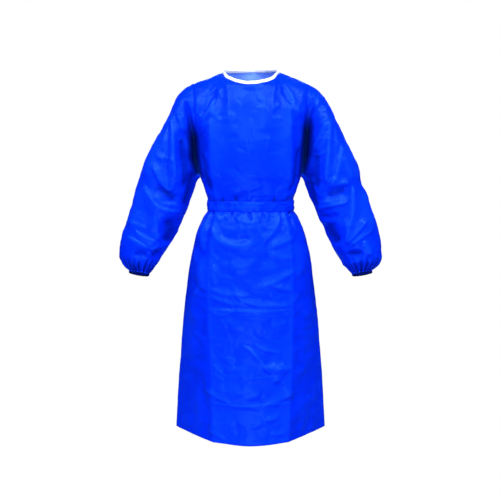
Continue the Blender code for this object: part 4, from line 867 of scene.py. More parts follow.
def creases(points, normals):
    """Height of all creases where the cloth faces front or back, and their painted sheen and painted shade
    there.

    Heights add up. Ridges get painted sheen and troughs painted shade, each as much as the strongest of them.
    """
    height, pale, painted_shade = (np.zeros(points.shape[:-1]) for _ in range(3))
    for face, sign in (("front", -1), ("back", 1)):
        facing = ramp(sign * normals[..., 1], *FACING)
        seen = facing > 0
        place, weight = points[seen][:, [0, 2]], facing[seen]
        own_height, own_pale, own_painted_shade = (np.zeros(len(place)) for _ in range(3))
        for path, width, rise, crisp, lean in (*CREASES[face], *small_creases(face)):
            margin = CREASE_SPREAD * width * (1 + abs(lean))
            low, high = np.min(path, axis=0) - margin, np.max(path, axis=0) + margin
            near = np.all((place > low) & (place < high), axis=-1)
            if near.any():
                lift, line = crease(place[near], path, width, rise, crisp, lean)
                own_height[near] += lift
                own_pale[near] = np.maximum(own_pale[near], line * np.clip(rise / PALE_HEIGHT, 0, 1))
                own_painted_shade[near] = np.maximum(own_painted_shade[near], ramp(-lift, *DARK_DEPTH))
        height[seen] += own_height * weight
        pale[seen] += own_pale * weight
        painted_shade[seen] += own_painted_shade * np.minimum(1, EDGE_DARK * weight)
    return height, pale, painted_shade


def small_creases(face):
    """Rows like those of the creases' tables: short straight ones in every direction, on one face."""
    draw = np.random.default_rng(SMALL_SEED + (face == "back"))
    low, high = np.array(SMALL_FIELD)
    for _ in range(SMALL_CREASES):
        start = low + (high - low) * draw.random(2)
        angle = math.pi * draw.random()
        run = np.array([math.cos(angle), math.sin(angle)]) * draw.uniform(*SMALL_LENGTH)
        width = draw.uniform(*SMALL_WIDTH)
        height = SMALL_HEIGHT * draw.uniform(*SMALL_SHARES) * draw.choice(SMALL_SIGNS)
        yield (start, start + run), width, height, draw.uniform(*SMALL_CRISP), draw.uniform(*SMALL_LEAN)


def crumpled(points):
    """Swells and thin ridges of uneven size all over the cloth, wider than high, and calmer on the chest.

    Each size adds a smooth noise as its swells and the folded size of another as its ridges.
    """
    total = np.zeros(points.shape[:-1])
    for number, (size, swell, ridge) in enumerate(CRUMPLES):
        swell_seed, ridge_seed = (SEEDS[name][0] + SEEDS[name][1] * number for name in ("swell", "ridge"))
        place = points / (size * np.array(CRUMPLE_STRETCH))
        warp = [lattice_noise(place * WARP_FINE, SEEDS["warp"] + k) for k in range(3)]
        place = place + CRUMPLE_WARP * np.stack(warp, axis=-1)
        total += swell * lattice_noise(place, swell_seed)
        total += ridge * (RIDGE_LEVEL - 2 * np.abs(lattice_noise(place * RIDGE_FINE, ridge_seed)))
    x, y, z = np.moveaxis(points, -1, 0)
    chest = (1 - ramp(np.abs(x), *CHEST_SIDE)) * ramp(-y, *CHEST_FRONT)
    chest *= ramp(z, *CHEST_FOOT) * (1 - ramp(z, *CHEST_TOP))
    return total * (1 - CHEST_CALM * chest)


def belt_puckers(points):
    """Short upright puckers above and below the belt, of uneven width, that fade out away from it."""
    above = points[..., 2] - BELT_MIDDLE
    gap = np.maximum(np.abs(above) - BELT_HEIGHT / 2, 0) / PUCKER_REACH
    round_waist = np.arctan2(points[..., 1], points[..., 0]) * WAIST_RADIUS / PUCKER_PITCH
    place = np.stack([round_waist, np.sign(above) * PUCKER_APART, gap * PUCKER_STRETCH], axis=-1)
    return PUCKER_HEIGHT * lattice_noise(place, SEEDS["pucker"]) * np.exp(-(gap**2))


def tucked(points):
    """The points drawn in between sleeve and body, towards the side seam's plane, and the share drawn in.

    A tuck draws in most on its line, less within its width, and by a share far to either side of it.
    """
    share = np.zeros(points.shape[:-1])
    for rows in TUCKS:
        tuck = dict(zip(TUCK_COLUMNS, np.array(rows)[::-1].T))
        height = points[..., 2]
        line, width, depth = (np.interp(height, tuck["z"], tuck[name]) for name in ("x", "width", "share"))
        q = np.abs(points[..., 0] - line) / width
        near, wide = 1 - ramp(q, *TUCK_FALL), 1 - ramp(q / WIDE_TUCK_REACH, 0, 1)
        depth = depth * ((1 - WIDE_TUCK) * near + WIDE_TUCK * wide)
        inside = (height > tuck["z"][0]) & (height < tuck["z"][-1])
        share = np.maximum(share, np.where(inside, depth, 0))
    share *= ramp(np.abs(points[..., 1]), *TUCK_CALM)
    return points * np.stack([np.ones_like(share), 1 - share, np.ones_like(share)], axis=-1), share


def seam_grooves(grid, edges):
    """A shallow groove along the sewn edges of a grid, with uneven small puckers beside it."""
    total = np.zeros(grid.shape[:2])
    wave = lattice_noise(grid / SEAM_PITCH, SEEDS["seam"])
    for edge in edges:
        axis, from_end = EDGES[edge][2], edge in ("top", "last")
        steps = np.linalg.norm(np.diff(grid, axis=axis), axis=-1)
        steps = np.flip(steps, axis) if from_end else steps
        away = np.cumsum(np.insert(steps, 0, 0, axis), axis)
        away = np.flip(away, axis) if from_end else away
        groove = np.exp(-((away / SEAM_REACH) ** 2))
        total += SEAM_PUCKER * wave * np.exp(-((away / SEAM_PUCKER_REACH) ** 2)) * (1 - groove)
        total -= SEAM_DEPTH * groove
    return total


def drawn_in(grid, normals, edges):
    """The grid with these edges moved half a seam gap into the piece, square to the seam and the normal."""
    moves = []
    for edge in edges:
        at, next_to, axis = EDGES[edge]
        line, inner = np.take(grid, at, axis=axis), np.take(grid, next_to, axis=axis)
        seam = np.gradient(line, axis=0)
        if np.allclose(line[0], line[-1], atol=SAME_PLACE):
            seam[0] = seam[-1] = line[1] - line[-2]
        square = unit(np.cross(seam, np.take(normals, at, axis=axis)))
        square *= np.sign(np.sum(square * (inner - line), axis=-1, keepdims=True))
        moves.append(((at,) if axis == 0 else (slice(None), at), square * SEAM_GAP / 2))
    grid = grid.copy()
    for at, move in moves:
        grid[at] += move
    return grid


def laid_flat(grid):
    """The cloth's own coordinates in metres: lengths along each row from its middle, and up each column."""
    across = np.linalg.norm(np.diff(grid, axis=1), axis=-1)
    up = np.linalg.norm(np.diff(grid, axis=0), axis=-1)
    u = np.concatenate([np.zeros((len(grid), 1)), np.cumsum(across, axis=1)], axis=1)
    v = np.concatenate([np.zeros((1, grid.shape[1])), np.cumsum(up, axis=0)], axis=0)
    return np.stack([u - u[:, [u.shape[1] // 2]], v], axis=-1)


def rim_of(rows, columns, closed):
    """The edges of a grid's border, in the direction in which its faces run along them."""
    k = np.arange(rows * columns).reshape(rows, columns)
    runs = [(k[0, :-1], k[0, 1:]), (k[-1, 1:], k[-1, :-1])]
    if not closed:
        runs += [(k[1:, 0], k[:-1, 0]), (k[:-1, -1], k[1:, -1])]
    return np.concatenate([a for a, _ in runs]), np.concatenate([b for _, b in runs])


def new_piece(name, points, faces, finish, smooth_faces=True, loops=None, marks=None):
    """A mesh object at the origin, with its own cloth coordinates and its marks: a value at each point."""
    mesh = bpy.data.meshes.new(name)
    mesh.from_pydata(points.tolist(), [], faces.tolist())
    flags = np.broadcast_to(np.asarray(smooth_faces, bool), len(faces))
    mesh.polygons.foreach_set("use_smooth", np.ascontiguousarray(flags))
    if loops is not None:
        mesh.uv_layers.new(name="cloth_metres").data.foreach_set("uv", loops.astype(np.float32).ravel())
    for mark in MARKS:
        values = (marks or {}).get(mark, np.zeros(len(points))).astype(np.float32)
        mesh.attributes.new(mark, "FLOAT", "POINT").data.foreach_set("value", values)
    mesh.materials.append(finish)
    mesh.update()
    piece = bpy.data.objects.new(name, mesh)
    bpy.context.scene.collection.objects.link(piece)
    return piece


def joined_round(faces, columns):
    """Faces of a grid whose last column lies on its first: both columns become one."""
    return np.where(faces % columns == columns - 1, faces - (columns - 1), faces)


def new_sheet(name, outer, normals, finish, thickness=CLOTH, closed=False, flat=None, marks=None, pale=1.0):
    """A thin shell: the grid as its outer face, the same grid inside it, and a rim along the border."""
    rows, columns = outer.shape[:2]
    count = rows * columns
    faces = grid_faces(outer)
    a, b = rim_of(rows, columns, closed)
    rim = np.concatenate([np.stack([b, a, a + count], -1), np.stack([b, a + count, b + count], -1)])
    faces = np.concatenate([faces, faces[:, ::-1] + count, rim])
    even = np.arange(len(faces)) < len(faces) - len(rim)
    points = np.concatenate([outer.reshape(-1, 3), (outer - normals * thickness).reshape(-1, 3)])
    place = (laid_flat(outer) if flat is None else flat).reshape(-1, 2)[faces % count]
    # The inside skin is marked paler: partly its own lighter face, partly painted light that comes through.
    values = {"inside": np.repeat([0.0, pale], count)}
    values |= {mark: np.tile(value.ravel(), 2) for mark, value in (marks or {}).items()}
    if closed:
        faces = joined_round(faces, columns)
    used, faces = np.unique(faces, return_inverse=True)
    values = {mark: value[used] for mark, value in values.items()}
    return new_piece(name, points[used], faces.reshape(-1, 3), finish, even, place, values)


def lap_lift(shares):
    """How far the cloth over the lap stands off the form: a wall and a gap, and nothing past the ease."""
    return (SOLID_WALL + LAY_GAP) * (1 - ramp(np.abs(np.asarray(shares)), LAP_SHARE, LAP_EASE_SHARE))


def fold_line(grid, shares, width, power):
    """1 along the long crease down a body panel, fading to 0 on either side: sharp at power 1, round at 2."""
    across = np.linalg.norm(grid[:, -1] - grid[:, 0], axis=-1)[:, None] / np.ptp(shares)
    away = np.abs(np.abs(shares)[None] - CREASE_SHARE) * across
    return np.exp(-((away / width) ** power)) * (1 - ramp(grid[..., 2], *FOLD_TOP))


def gather_shade(name, rows):
    """Painted shade on the wrist's gathers: most in their valleys, towards the elastic and at the cuff's end.
    """
    t = np.linspace(0, 1, rows)[:, None]
    valley = GATHER_SHADE * (1 - gather_lobes())[None] ** VALLEY_POWER
    if name.startswith("sleeve"):
        return valley * ramp(t, GATHER_START, 1.0)
    return np.maximum(valley, CUFF_SHADE * ramp(t, *CUFF_SHADE_AT))


def plain_body():
    """The smooth form of every body piece, as a grid that faces out: the right ones mirror the left ones."""
    grids = {
        "front": body_grid(front_shares(), "front"),
        "back_left": body_grid(back_shares(), "back")[:, ::-1],
        "sleeve_left": sleeve_grid(),
        "cuff_left": cuff_grid(),
    }
    for name in ("back", "sleeve", "cuff"):
        grids[name + "_right"] = mirrored(grids[name + "_left"])
    return grids


def panel_relief(grid, shares, height, pale, painted_shade):
    """A panel's height, painted sheen and painted shade, with its long creases, the painted sheen on its
    middle and the puckers at the belt, with painted shade in their valleys.

    The creasing is calmer at the side seams, and everything is flat under the belt.
    """
    away = np.abs(shares)
    puckers = belt_puckers(grid)
    height = height * (1 - SIDE_CALM * ramp(away, *SIDE_REACH))
    height += puckers + FOLD_RIDGE * fold_line(grid, shares, FOLD_REACH, 1)
    height *= ramp(np.abs(grid[..., 2] - BELT_MIDDLE), *BELT_CALM)
    pale = np.maximum(pale, FOLD_PALE * fold_line(grid, shares, LINE_WIDTH, 2))
    middle = np.interp(grid[..., 2], *zip(*PANEL_PALE)) * (away < CREASE_SHARE)
    middle = middle * (1 - PANEL_ROUND * (1 - ramp(away / CREASE_SHARE, *PANEL_EDGE)))
    return height, 1 - (1 - pale) * (1 - middle), np.maximum(painted_shade, PUCKER_DARK * ramp(-puckers, *PUCKER_DEEP))


def relief(name, grid, normals, shares):
    """How far a piece's points stand off its smooth form, and its painted sheen and painted shade there."""
    height, pale, painted_shade = creases(grid, normals)
    swells = crumpled(grid)
    height = height + swells
    pale = np.maximum(pale, SWELL_PALE * ramp(swells, *SWELL_RISE))
    if name in shares:
        height, pale, painted_shade = panel_relief(grid, shares[name], height, pale, painted_shade)
    elif name.startswith("sleeve"):
        height *= 1 - ramp(np.linspace(0, 1, len(grid)), *WRIST_CALM)[:, None]
    else:
        height = np.zeros_like(height)
    return height + seam_grooves(grid, GROOVED[name]), pale, painted_shade


def build_body(cloth):
    """Front, backs, sleeves and cuffs, whose seams share points and normals. Returns the three panels."""
    plain = plain_body()
    shares = {"front": front_shares(), "back_left": back_shares()[::-1], "back_right": back_shares()}
    even = dict(zip(plain, shared_normals(plain.values())))
    grids, marks = {}, {}
    for name, grid in plain.items():
        height, pale, painted_shade = relief(name, grid, even[name], shares)
        grids[name], tuck = tucked(grid + even[name] * height[..., None])
        # The share drawn into a tuck becomes painted shade, as do the troughs and the wrist's gathers.
        tuck = np.maximum(tuck, TROUGH_SHADE * np.minimum(painted_shade, 1))
        if name not in shares:
            tuck = np.maximum(tuck, gather_shade(name, len(grid)))
        marks[name] = {"crease": pale, "tuck": tuck}
    normals = dict(zip(grids, shared_normals(grids.values())))
    lap = normals["back_left"] * lap_lift(shares["back_left"])[None, :, None]
    for name, grid in grids.items():
        tube = name not in shares
        sewn = drawn_in(grid, normals[name], SEWN[name])
        if name == "back_left":
            sewn = sewn + lap
        piece = new_sheet(name + "_cloth", sewn, normals[name], cloth, closed=tube, marks=marks[name],
                          flat=laid_flat(plain[name]), pale=0.0 if tube else 1.0)
        dressed(piece, name, "cloth")
    grids["back_left"] = grids["back_left"] + lap
    return [(grids[name], normals[name]) for name in shares]


def dressed(piece, node, finish):
    """The piece rides on the gown's one body and stands for its solid, which is hidden. Its finish is not
    used.
    """
    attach(piece, "root")
    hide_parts(node)


def neckline(front, left_back, right_back):
    """Points and normals along the top edge, from the left back's edge round the front to the other's."""
    across, lap = round(NECK_SHARE * HALF_COLUMNS), round(LAP_SHARE * HALF_COLUMNS)
    columns = (
        (left_back, np.arange(HALF_COLUMNS + lap, HALF_COLUMNS - across - 1, -1)),
        (front, np.arange(HALF_COLUMNS + across - 1, HALF_COLUMNS - across - 1, -1)),
        (right_back, np.arange(lap + across - 1, -1, -1)),
    )
    return (np.concatenate([panel[k][-1][at] for panel, at in columns]) for k in (0, 1))


def squared(v, power):
    """Between -1 and 1, drawn out towards the ends: rounds a circle's waves off to a squared shape's."""
    return np.sign(v) * np.abs(v) ** power


def fanned(ring, turned):
    """Triangles from a ring's first point to all its others, which close the end of a tube."""
    fan = np.stack([np.full(len(ring) - 2, ring[0]), ring[2:], ring[1:-1]], -1)
    return fan[:, ::-1] if turned else fan


def build_binding(panels, tape):
    """The white tape folded over the neckline: a flattened round section carried along the edge.

    Returns the place of its knot, on the middle of the back, and the way out from there.
    """
    line, slope = neckline(*panels)
    inward = unit(np.cross(unit(np.gradient(line, axis=0)), slope))
    up = unit(inward * (1 - BINDING_UPRIGHT) + np.array([0, 0, BINDING_UPRIGHT]))
    out = unit(np.cross(up, unit(np.gradient(line, axis=0))))
    seat = up * (SEAM_GAP + BINDING_HEIGHT / 2)
    turn = np.linspace(0, 2 * math.pi, BINDING_ROUND + 1)
    high, wide = (squared(wave(turn), BINDING_SQUARE)[None, :, None] / 2 for wave in (np.sin, np.cos))
    place = np.stack([line[:, 0] / BINDING_PITCH, line[:, 1] / BINDING_PITCH, 0 * line[:, 2]], -1)
    thick = BINDING_WALL * (1 + BINDING_RIPPLE * lattice_noise(place, SEEDS["binding"]))
    rings = (line + out * (BINDING_PROUD - BINDING_WALL / 2) + seat)[:, None]
    rings = rings + up[:, None] * high * BINDING_HEIGHT + out[:, None] * wide * thick[:, None, None]
    faces = grid_faces(rings)
    flat = laid_flat(rings).reshape(-1, 2)[faces]
    used, faces = np.unique(joined_round(faces, BINDING_ROUND + 1), return_inverse=True)
    ring = np.arange(BINDING_ROUND)
    caps = np.concatenate([fanned(ring, False), fanned(len(used) - BINDING_ROUND + ring, True)])
    flat = np.concatenate([flat, np.zeros((len(caps), 3, 2))])
    faces = np.concatenate([faces.reshape(-1, 3), caps])
    piece = new_piece("neck_binding_tape", rings.reshape(-1, 3)[used], faces, tape, True, flat)
    dressed(piece, "neck_binding", "binding")
    middle = round(LAP_SHARE * HALF_COLUMNS)
    return line[middle] + out[middle] * BINDING_PROUD + seat[middle], out[middle]


def build_belt(cloth):
    """The belt: a band round the waist with wrinkles and sharper folds along it, uneven at its edges.

    Returns the place of its knot, on the middle of the back, and the way out from there.
    """
    heights = np.linspace(BELT_TOP - BELT_HEIGHT, BELT_TOP, BELT_STEPS + 1)
    upwards = np.linspace(-1, 1, BELT_STEPS + 1)[:, None]
    shares = front_shares()
    front = level_section(heights[:, None], shares[None], "front")
    back = level_section(heights[:, None], shares[::-1][None], "back")
    base = np.concatenate([front, back[:, 1:]], axis=1)
    normals = shared_normals([base])[0]
    lift = np.concatenate([np.zeros(len(shares)), lap_lift(shares)[1:]])
    cells, hem = base / BELT_CELL, np.abs(upwards) ** BELT_HEM_POWER
    wrinkle = lattice_noise(cells, SEEDS["belt"])
    wrinkle = wrinkle + BELT_FINE_SHARE * lattice_noise(cells * BELT_FINE, SEEDS["belt_fine"])
    coarse = BELT_COARSE_SHARE * lattice_noise(base / BELT_COARSE_CELL, SEEDS["belt_coarse"])
    folds = BELT_FOLD_SHARE * np.abs(lattice_noise(base / BELT_FOLD_CELL, SEEDS["belt_fold"]))
    height = BELT_WRINKLE * (wrinkle * (1 - hem) + coarse + BELT_FOLD_LEVEL - folds) - BELT_HEM_DROP * hem
    grid = base + normals * (lift + BELT_OFF + height)[..., None]
    grid[..., 2] += BELT_EDGE * upwards * lattice_noise(base * BELT_EDGE_WAVES, SEEDS["belt_edge"])
    # The tops of the belt's wrinkles get painted sheen.
    piece = new_sheet("belt_band", grid, shared_normals([grid])[0], cloth, BELT_CLOTH, True, laid_flat(base),
                      {"crease": ramp(height, *BELT_RISE)})
    dressed(piece, "belt", "cloth")
    at = (BELT_STEPS // 2, len(shares) - 1 + HALF_COLUMNS)
    return base[at] + normals[at] * (lap_lift(0.0) + SOLID_WALL + KNOT_ABOVE_BELT), normals[at]


def build_knot(name, node, at, out, size, finish, slot):
    """A rounded knot: a squared egg with slanting grooves where the cloth goes round it. Returns its foot."""
    centre = at + np.array([0.0, 1.0, 0.0]) * size["depth"] / 2 + out * size["seat"]
    half = np.array([size["width"], size["depth"], size["height"]]) / 2
    tilt = np.linspace(-math.pi / 2, math.pi / 2, KNOT_ROWS)[1:-1, None]
    turn = np.linspace(0, 2 * math.pi, KNOT_COLUMNS, endpoint=False)[None]
    slant = sum(much * np.sin(times * turn + start) for times, much, start in KNOT_SLANTS)
    wraps = np.abs(np.sin(KNOT_WRAPS * tilt + slant))
    level = squared(np.cos(tilt), KNOT_SQUARE) * (1 - KNOT_GROOVE * (1 - wraps) ** 2 * np.cos(tilt))
    x, y = (level * squared(wave(turn), KNOT_SQUARE) for wave in (np.cos, np.sin))
    skin = half * np.stack([x, y, squared(np.sin(tilt), KNOT_SQUARE) * np.ones_like(turn)], axis=-1)
    poles = half * np.array([[0, 0, -1], [0, 0, 1]])
    flat = np.stack(np.broadcast_arrays(turn * half[0], tilt * half[2]), -1).reshape(-1, 2)
    flat = np.concatenate([flat, poles[:, [0, 2]]])
    k = np.arange(x.size).reshape(x.shape)
    right = np.roll(k, -1, axis=1)
    bottom, top = np.full(KNOT_COLUMNS, x.size), np.full(KNOT_COLUMNS, x.size + 1)
    faces = np.concatenate([np.stack(corners, -1).reshape(-1, 3) for corners in (
        (k[:-1], right[:-1], right[1:]), (k[:-1], right[1:], k[1:]),
        (right[0], k[0], bottom), (k[-1], right[-1], top),
    )])
    points = np.concatenate([skin.reshape(-1, 3), poles]) + centre
    dressed(new_piece(name, points, faces, finish, True, flat[faces]), node, slot)
    return centre[2] - half[2] - size["drop"]


def depth_behind(panel, x, z):
    """How far back the panel's outer face is at each x of a row, for rows at these heights."""
    near = panel[:, np.abs(panel[0, :, 0]) < LYING_REACH]
    near = near[:, np.argsort(near[0, :, 0])]
    columns = np.swapaxes(near, 0, 1)
    across, depth = (np.stack([np.interp(z, line[:, 2], line[:, k]) for line in columns], -1) for k in (0, 1))
    return np.stack([np.interp(row, row_x, row_y) for row, row_x, row_y in zip(x, across, depth)])


def build_tail(name, node, panel, from_z, tie, tail, finish):
    """A strip that leaves its knot and comes to lie on the back, with curled edges and a soft wave."""
    steps = math.ceil((from_z - tail["to_z"]) / TAIL_STEP)
    heights = np.linspace(tail["to_z"], from_z, steps + 1)
    progress = (from_z - heights) / (from_z - tail["to_z"])
    share = np.linspace(0, 1, len(tail["x"]))
    centre, width = smooth(progress, share, tail["x"]), smooth(progress, share, tie["width"])
    stand = TAIL_STAND * tie["knot"]["depth"] * (1 - ramp(from_z - heights, 0, TAIL_SETTLE))
    across = np.linspace(-0.5, 0.5, TAIL_ACROSS + 1)[None]
    x = centre[:, None] - width[:, None] * across
    z = np.repeat(heights[:, None], TAIL_ACROSS + 1, axis=1)
    place = np.stack([x / TAIL_WAVE_CELL[0], z / TAIL_WAVE_CELL[1], 0 * x], -1)
    wave = TAIL_WAVE * (lattice_noise(place, SEEDS["tail"]) + 1)
    curl = (2 * across) ** 2 * ramp(progress, *TAIL_CURL_FROM)[:, None]
    y = depth_behind(panel, x, heights) + LAY_GAP * 2 + stand[:, None] + TAIL_CURL * (curl + wave)
    under = np.stack([x, y, z], axis=-1)
    normals = shared_normals([under])[0]
    dressed(new_sheet(name, under + normals * tie["wall"], normals, finish, tie["wall"]), node, tie["slot"])


def build_tie(name, at, out, panel, finish):
    """A knot on the middle of the back, and the two tails that hang from it on the back's own cloth."""
    tie = TIES[name]
    from_z = build_knot(f"{name}_knot_tied", f"{name}_knot", at, out, tie["knot"], finish, tie["slot"])
    for side in ("left", "right"):
        tail = f"{name}_tail_{side}"
        build_tail(f"{tail}_{tie['kind']}", tail, panel, from_z, tie, tie[side], finish)


def node(tree, kind, **values):
    """A new node of this kind with these socket values, by socket name with _ for a space."""
    made = tree.nodes.new(kind)
    for name, value in values.items():
        made.inputs[name.replace("_", " ")].default_value = value
    return made


def join(tree, *pairs):
    """Links each output to its inlet."""
    for output, inlet in pairs:
        tree.links.new(output, inlet)


def scaled_noise(tree, vector, scale, detail, rough, stretch=None, **values):
    """A noise texture on this vector, stretched by a mapping where that is given."""
    if stretch:
        mapping = node(tree, "ShaderNodeMapping", Scale=stretch)
        join(tree, (vector, mapping.inputs["Vector"]))
        vector = mapping.outputs["Vector"]
    noise = node(tree, "ShaderNodeTexNoise", Scale=scale, Detail=detail, Roughness=rough, **values)
    join(tree, (vector, noise.inputs["Vector"]))
    return noise.outputs["Fac"]


def ranged(tree, value, given, wanted):
    """The value moved from the range that is given to the wanted one, and held inside it."""
    (low, high), (to_low, to_high) = given, wanted
    made = node(tree, "ShaderNodeMapRange", From_Min=low, From_Max=high, To_Min=to_low, To_Max=to_high)
    made.clamp = True
    join(tree, (value, made.inputs["Value"]))
    return made.outputs["Result"]


def summed(tree, first, second):
    """The sum of two values."""
    add = tree.nodes.new("ShaderNodeMath")
    add.operation = "ADD"
    join(tree, (first, add.inputs[0]), (second, add.inputs[1]))
    return add.outputs[0]


def bonded_fibres():
    """Group: spunbonded cloth on its own coordinates. Puts out its height and how dense its fibres lie."""
    group = bpy.data.node_groups.new("bonded_fibres", "ShaderNodeTree")
    for name, way, kind in (("Place", "INPUT", "Vector"), ("Bonds per metre", "INPUT", "Float"),
                            ("Height", "OUTPUT", "Float"), ("Density", "OUTPUT", "Float")):
        group.interface.new_socket(name, in_out=way, socket_type="NodeSocket" + kind)
    given, put = group.nodes.new("NodeGroupInput").outputs, group.nodes.new("NodeGroupOutput").inputs
    turned = node(group, "ShaderNodeMapping", Rotation=(0, 0, BOND_TURN))
    bonds = node(group, "ShaderNodeTexVoronoi", Randomness=0.0)
    join(group, (given["Place"], turned.inputs["Vector"]), (turned.outputs["Vector"], bonds.inputs["Vector"]),
         (given["Bonds per metre"], bonds.inputs["Scale"]))
    dimple = ranged(group, bonds.outputs["Distance"], BOND_SIZE, (0.0, 1.0))
    fibres = scaled_noise(group, given["Place"], **FIBRES)
    clumps = scaled_noise(group, given["Place"], **CLUMPS)
    height = summed(group, ranged(group, fibres, USUAL, (0.0, 0.5)), dimple)
    density = summed(group, *(ranged(group, part, USUAL, (-0.5, 0.5)) for part in (clumps, fibres)))
    join(group, (height, put["Height"]), (density, put["Density"]))
    return group


def bumped(tree, height, bump, normal=None):
    """The normal tilted by a height, whose bump gives strength and distance."""
    made = node(tree, "ShaderNodeBump", **bump)
    join(tree, (height, made.inputs["Height"]))
    if normal is not None:
        join(tree, (normal, made.inputs["Normal"]))
    return made.outputs["Normal"]


def mixed(tree, share, first, second):
    """Two colours mixed by a share that varies, each a socket or a colour of its own."""
    made = tree.nodes.new("ShaderNodeMix")
    made.data_type = "RGBA"
    for inlet, value in ((made.inputs[0], share), (made.inputs[6], first), (made.inputs[7], second)):
        if isinstance(value, bpy.types.NodeSocket):
            join(tree, (value, inlet))
        else:
            inlet.default_value = value
    return made.outputs[2]


def new_finish(name, **values):
    """A material with its tree and its Principled BSDF, on which these values are the same all over."""
    finish = bpy.data.materials.new(name)
    finish.use_nodes = True
    shader = finish.node_tree.nodes["Principled BSDF"]
    for socket, value in values.items():
        shader.inputs[socket.replace("_", " ")].default_value = value
    return finish, finish.node_tree, shader


def woven(tree, fibres, bonds_per_metre):
    """The cloth's object coordinates, and the bonded fibres' outputs on its own coordinates."""
    place = node(tree, "ShaderNodeTexCoord").outputs
    weave = tree.nodes.new("ShaderNodeGroup")
    weave.node_tree = fibres
    weave.inputs["Bonds per metre"].default_value = bonds_per_metre
    join(tree, (place["UV"], weave.inputs["Place"]))
    return place["Object"], weave.outputs


def marked(tree, mark):
    """The value of a mark that the pieces' points carry."""
    reader = tree.nodes.new("ShaderNodeAttribute")
    reader.attribute_name = mark
    return reader.outputs["Fac"]


def cloth_finish(fibres):
    """Royal blue spunbonded cloth: faintly cloudy, paler inside (partly its own lighter face, partly painted
    light that comes through), with painted sheen on its creases and painted shade in its tucks.

    Its sheen is soft and uneven, and crinkles finer than the mesh's own are bumps.
    """
    finish, tree, shader = new_finish("blue_cloth", Specular_IOR_Level=BLUE_GLOSS, Specular_Tint=BLUE_SHEEN,
                                      Emission_Strength=1.0)
    place, weave = woven(tree, fibres, CLOTH_BONDS)
    inside, painted_sheen_mark, painted_shade_mark = (marked(tree, mark) for mark in MARKS)
    cloud = scaled_noise(tree, place, **BLUE_CLOUD)
    shade = mixed(tree, ranged(tree, cloud, BLUE_CLOUDY, (0.0, 1.0)), BLUE_DEEP, BLUE_LIGHT)
    shade = mixed(tree, ranged(tree, weave["Density"], (-1.0, 1.0), (0.0, FIBRES_PALE)), shade, BLUE_PALE)
    # Painted sheen on creases, ridges, swells, the belt's wrinkles and the panel's middle.
    shade = mixed(tree, ranged(tree, painted_sheen_mark, (0.0, 1.0), (0.0, CREASE_PALE)), shade, BLUE_PALE)
    # Painted shade in the tucks, troughs, gathers and pucker valleys.
    shade = mixed(tree, ranged(tree, painted_shade_mark, TUCK_DARK_AT, (0.0, TUCK_SHADE)), shade, BLUE_SHADE)
    shade = mixed(tree, inside, shade, BLUE_INSIDE)
    glow = mixed(tree, inside, NO_GLOW, GLOW_INSIDE)
    rough = ranged(tree, cloud, USUAL, BLUE_ROUGH)
    crinkles = scaled_noise(tree, place, **CRINKLES)
    crinkles.node.noise_type = "RIDGED_MULTIFRACTAL"
    normal = bumped(tree, weave["Height"], CLOTH_BUMP, bumped(tree, crinkles, CRINKLE_BUMP))
    join(tree, (shade, shader.inputs["Base Color"]), (glow, shader.inputs["Emission Color"]),
         (rough, shader.inputs["Roughness"]), (normal, shader.inputs["Normal"]))
    return finish


def tape_finish(fibres):
    """Matt white nonwoven tape, faintly cloudy and uneven."""
    finish, tree, shader = new_finish("white_tape", Specular_IOR_Level=WHITE_GLOSS)
    place, weave = woven(tree, fibres, TAPE_BONDS)
    cloud = scaled_noise(tree, place, **WHITE_CLOUD)
    shade = mixed(tree, ranged(tree, cloud, USUAL, (0.0, 1.0)), WHITE_SHADE, WHITE)
    shade = mixed(tree, ranged(tree, weave["Density"], (-1.0, 1.0), (0.0, FIBRES_GREY)), shade, WHITE_SHADE)
    rough = ranged(tree, cloud, USUAL, WHITE_ROUGH)
    normal = bumped(tree, weave["Height"], TAPE_BUMP, bumped(tree, cloud, PUFF_BUMP))
    join(tree, (shade, shader.inputs["Base Color"]), (rough, shader.inputs["Roughness"]),
         (normal, shader.inputs["Normal"]))
    return finish


def floor_finish():
    """A pale blue floor that lights the gown softly and is plain white where the camera sees it."""
    finish, tree, shader = new_finish("pale_floor", Roughness=FLOOR_ROUGH, Specular_IOR_Level=FLOOR_GLOSS)
    cloud = scaled_noise(tree, node(tree, "ShaderNodeTexCoord").outputs["Object"], **FLOOR_CLOUD)
    join(tree, (mixed(tree, cloud, FLOOR_DULL, FLOOR_PALE), shader.inputs["Base Color"]))
    white = node(tree, "ShaderNodeEmission", Color=SKY, Strength=1.0)
    seen = tree.nodes.new("ShaderNodeLightPath").outputs["Is Camera Ray"]
    both = tree.nodes.new("ShaderNodeMixShader")
    join(tree, (seen, both.inputs[0]), (shader.outputs[0], both.inputs[1]), (white.outputs[0], both.inputs[2]),
         (both.outputs[0], tree.nodes["Material Output"].inputs["Surface"]))
    return finish


def aimed(thing, place, target):
    """A lamp or camera put in its place and turned to its target."""
    thing.location = place
    thing.rotation_euler = (Vector(target) - Vector(place)).to_track_quat("-Z", "Y").to_euler()


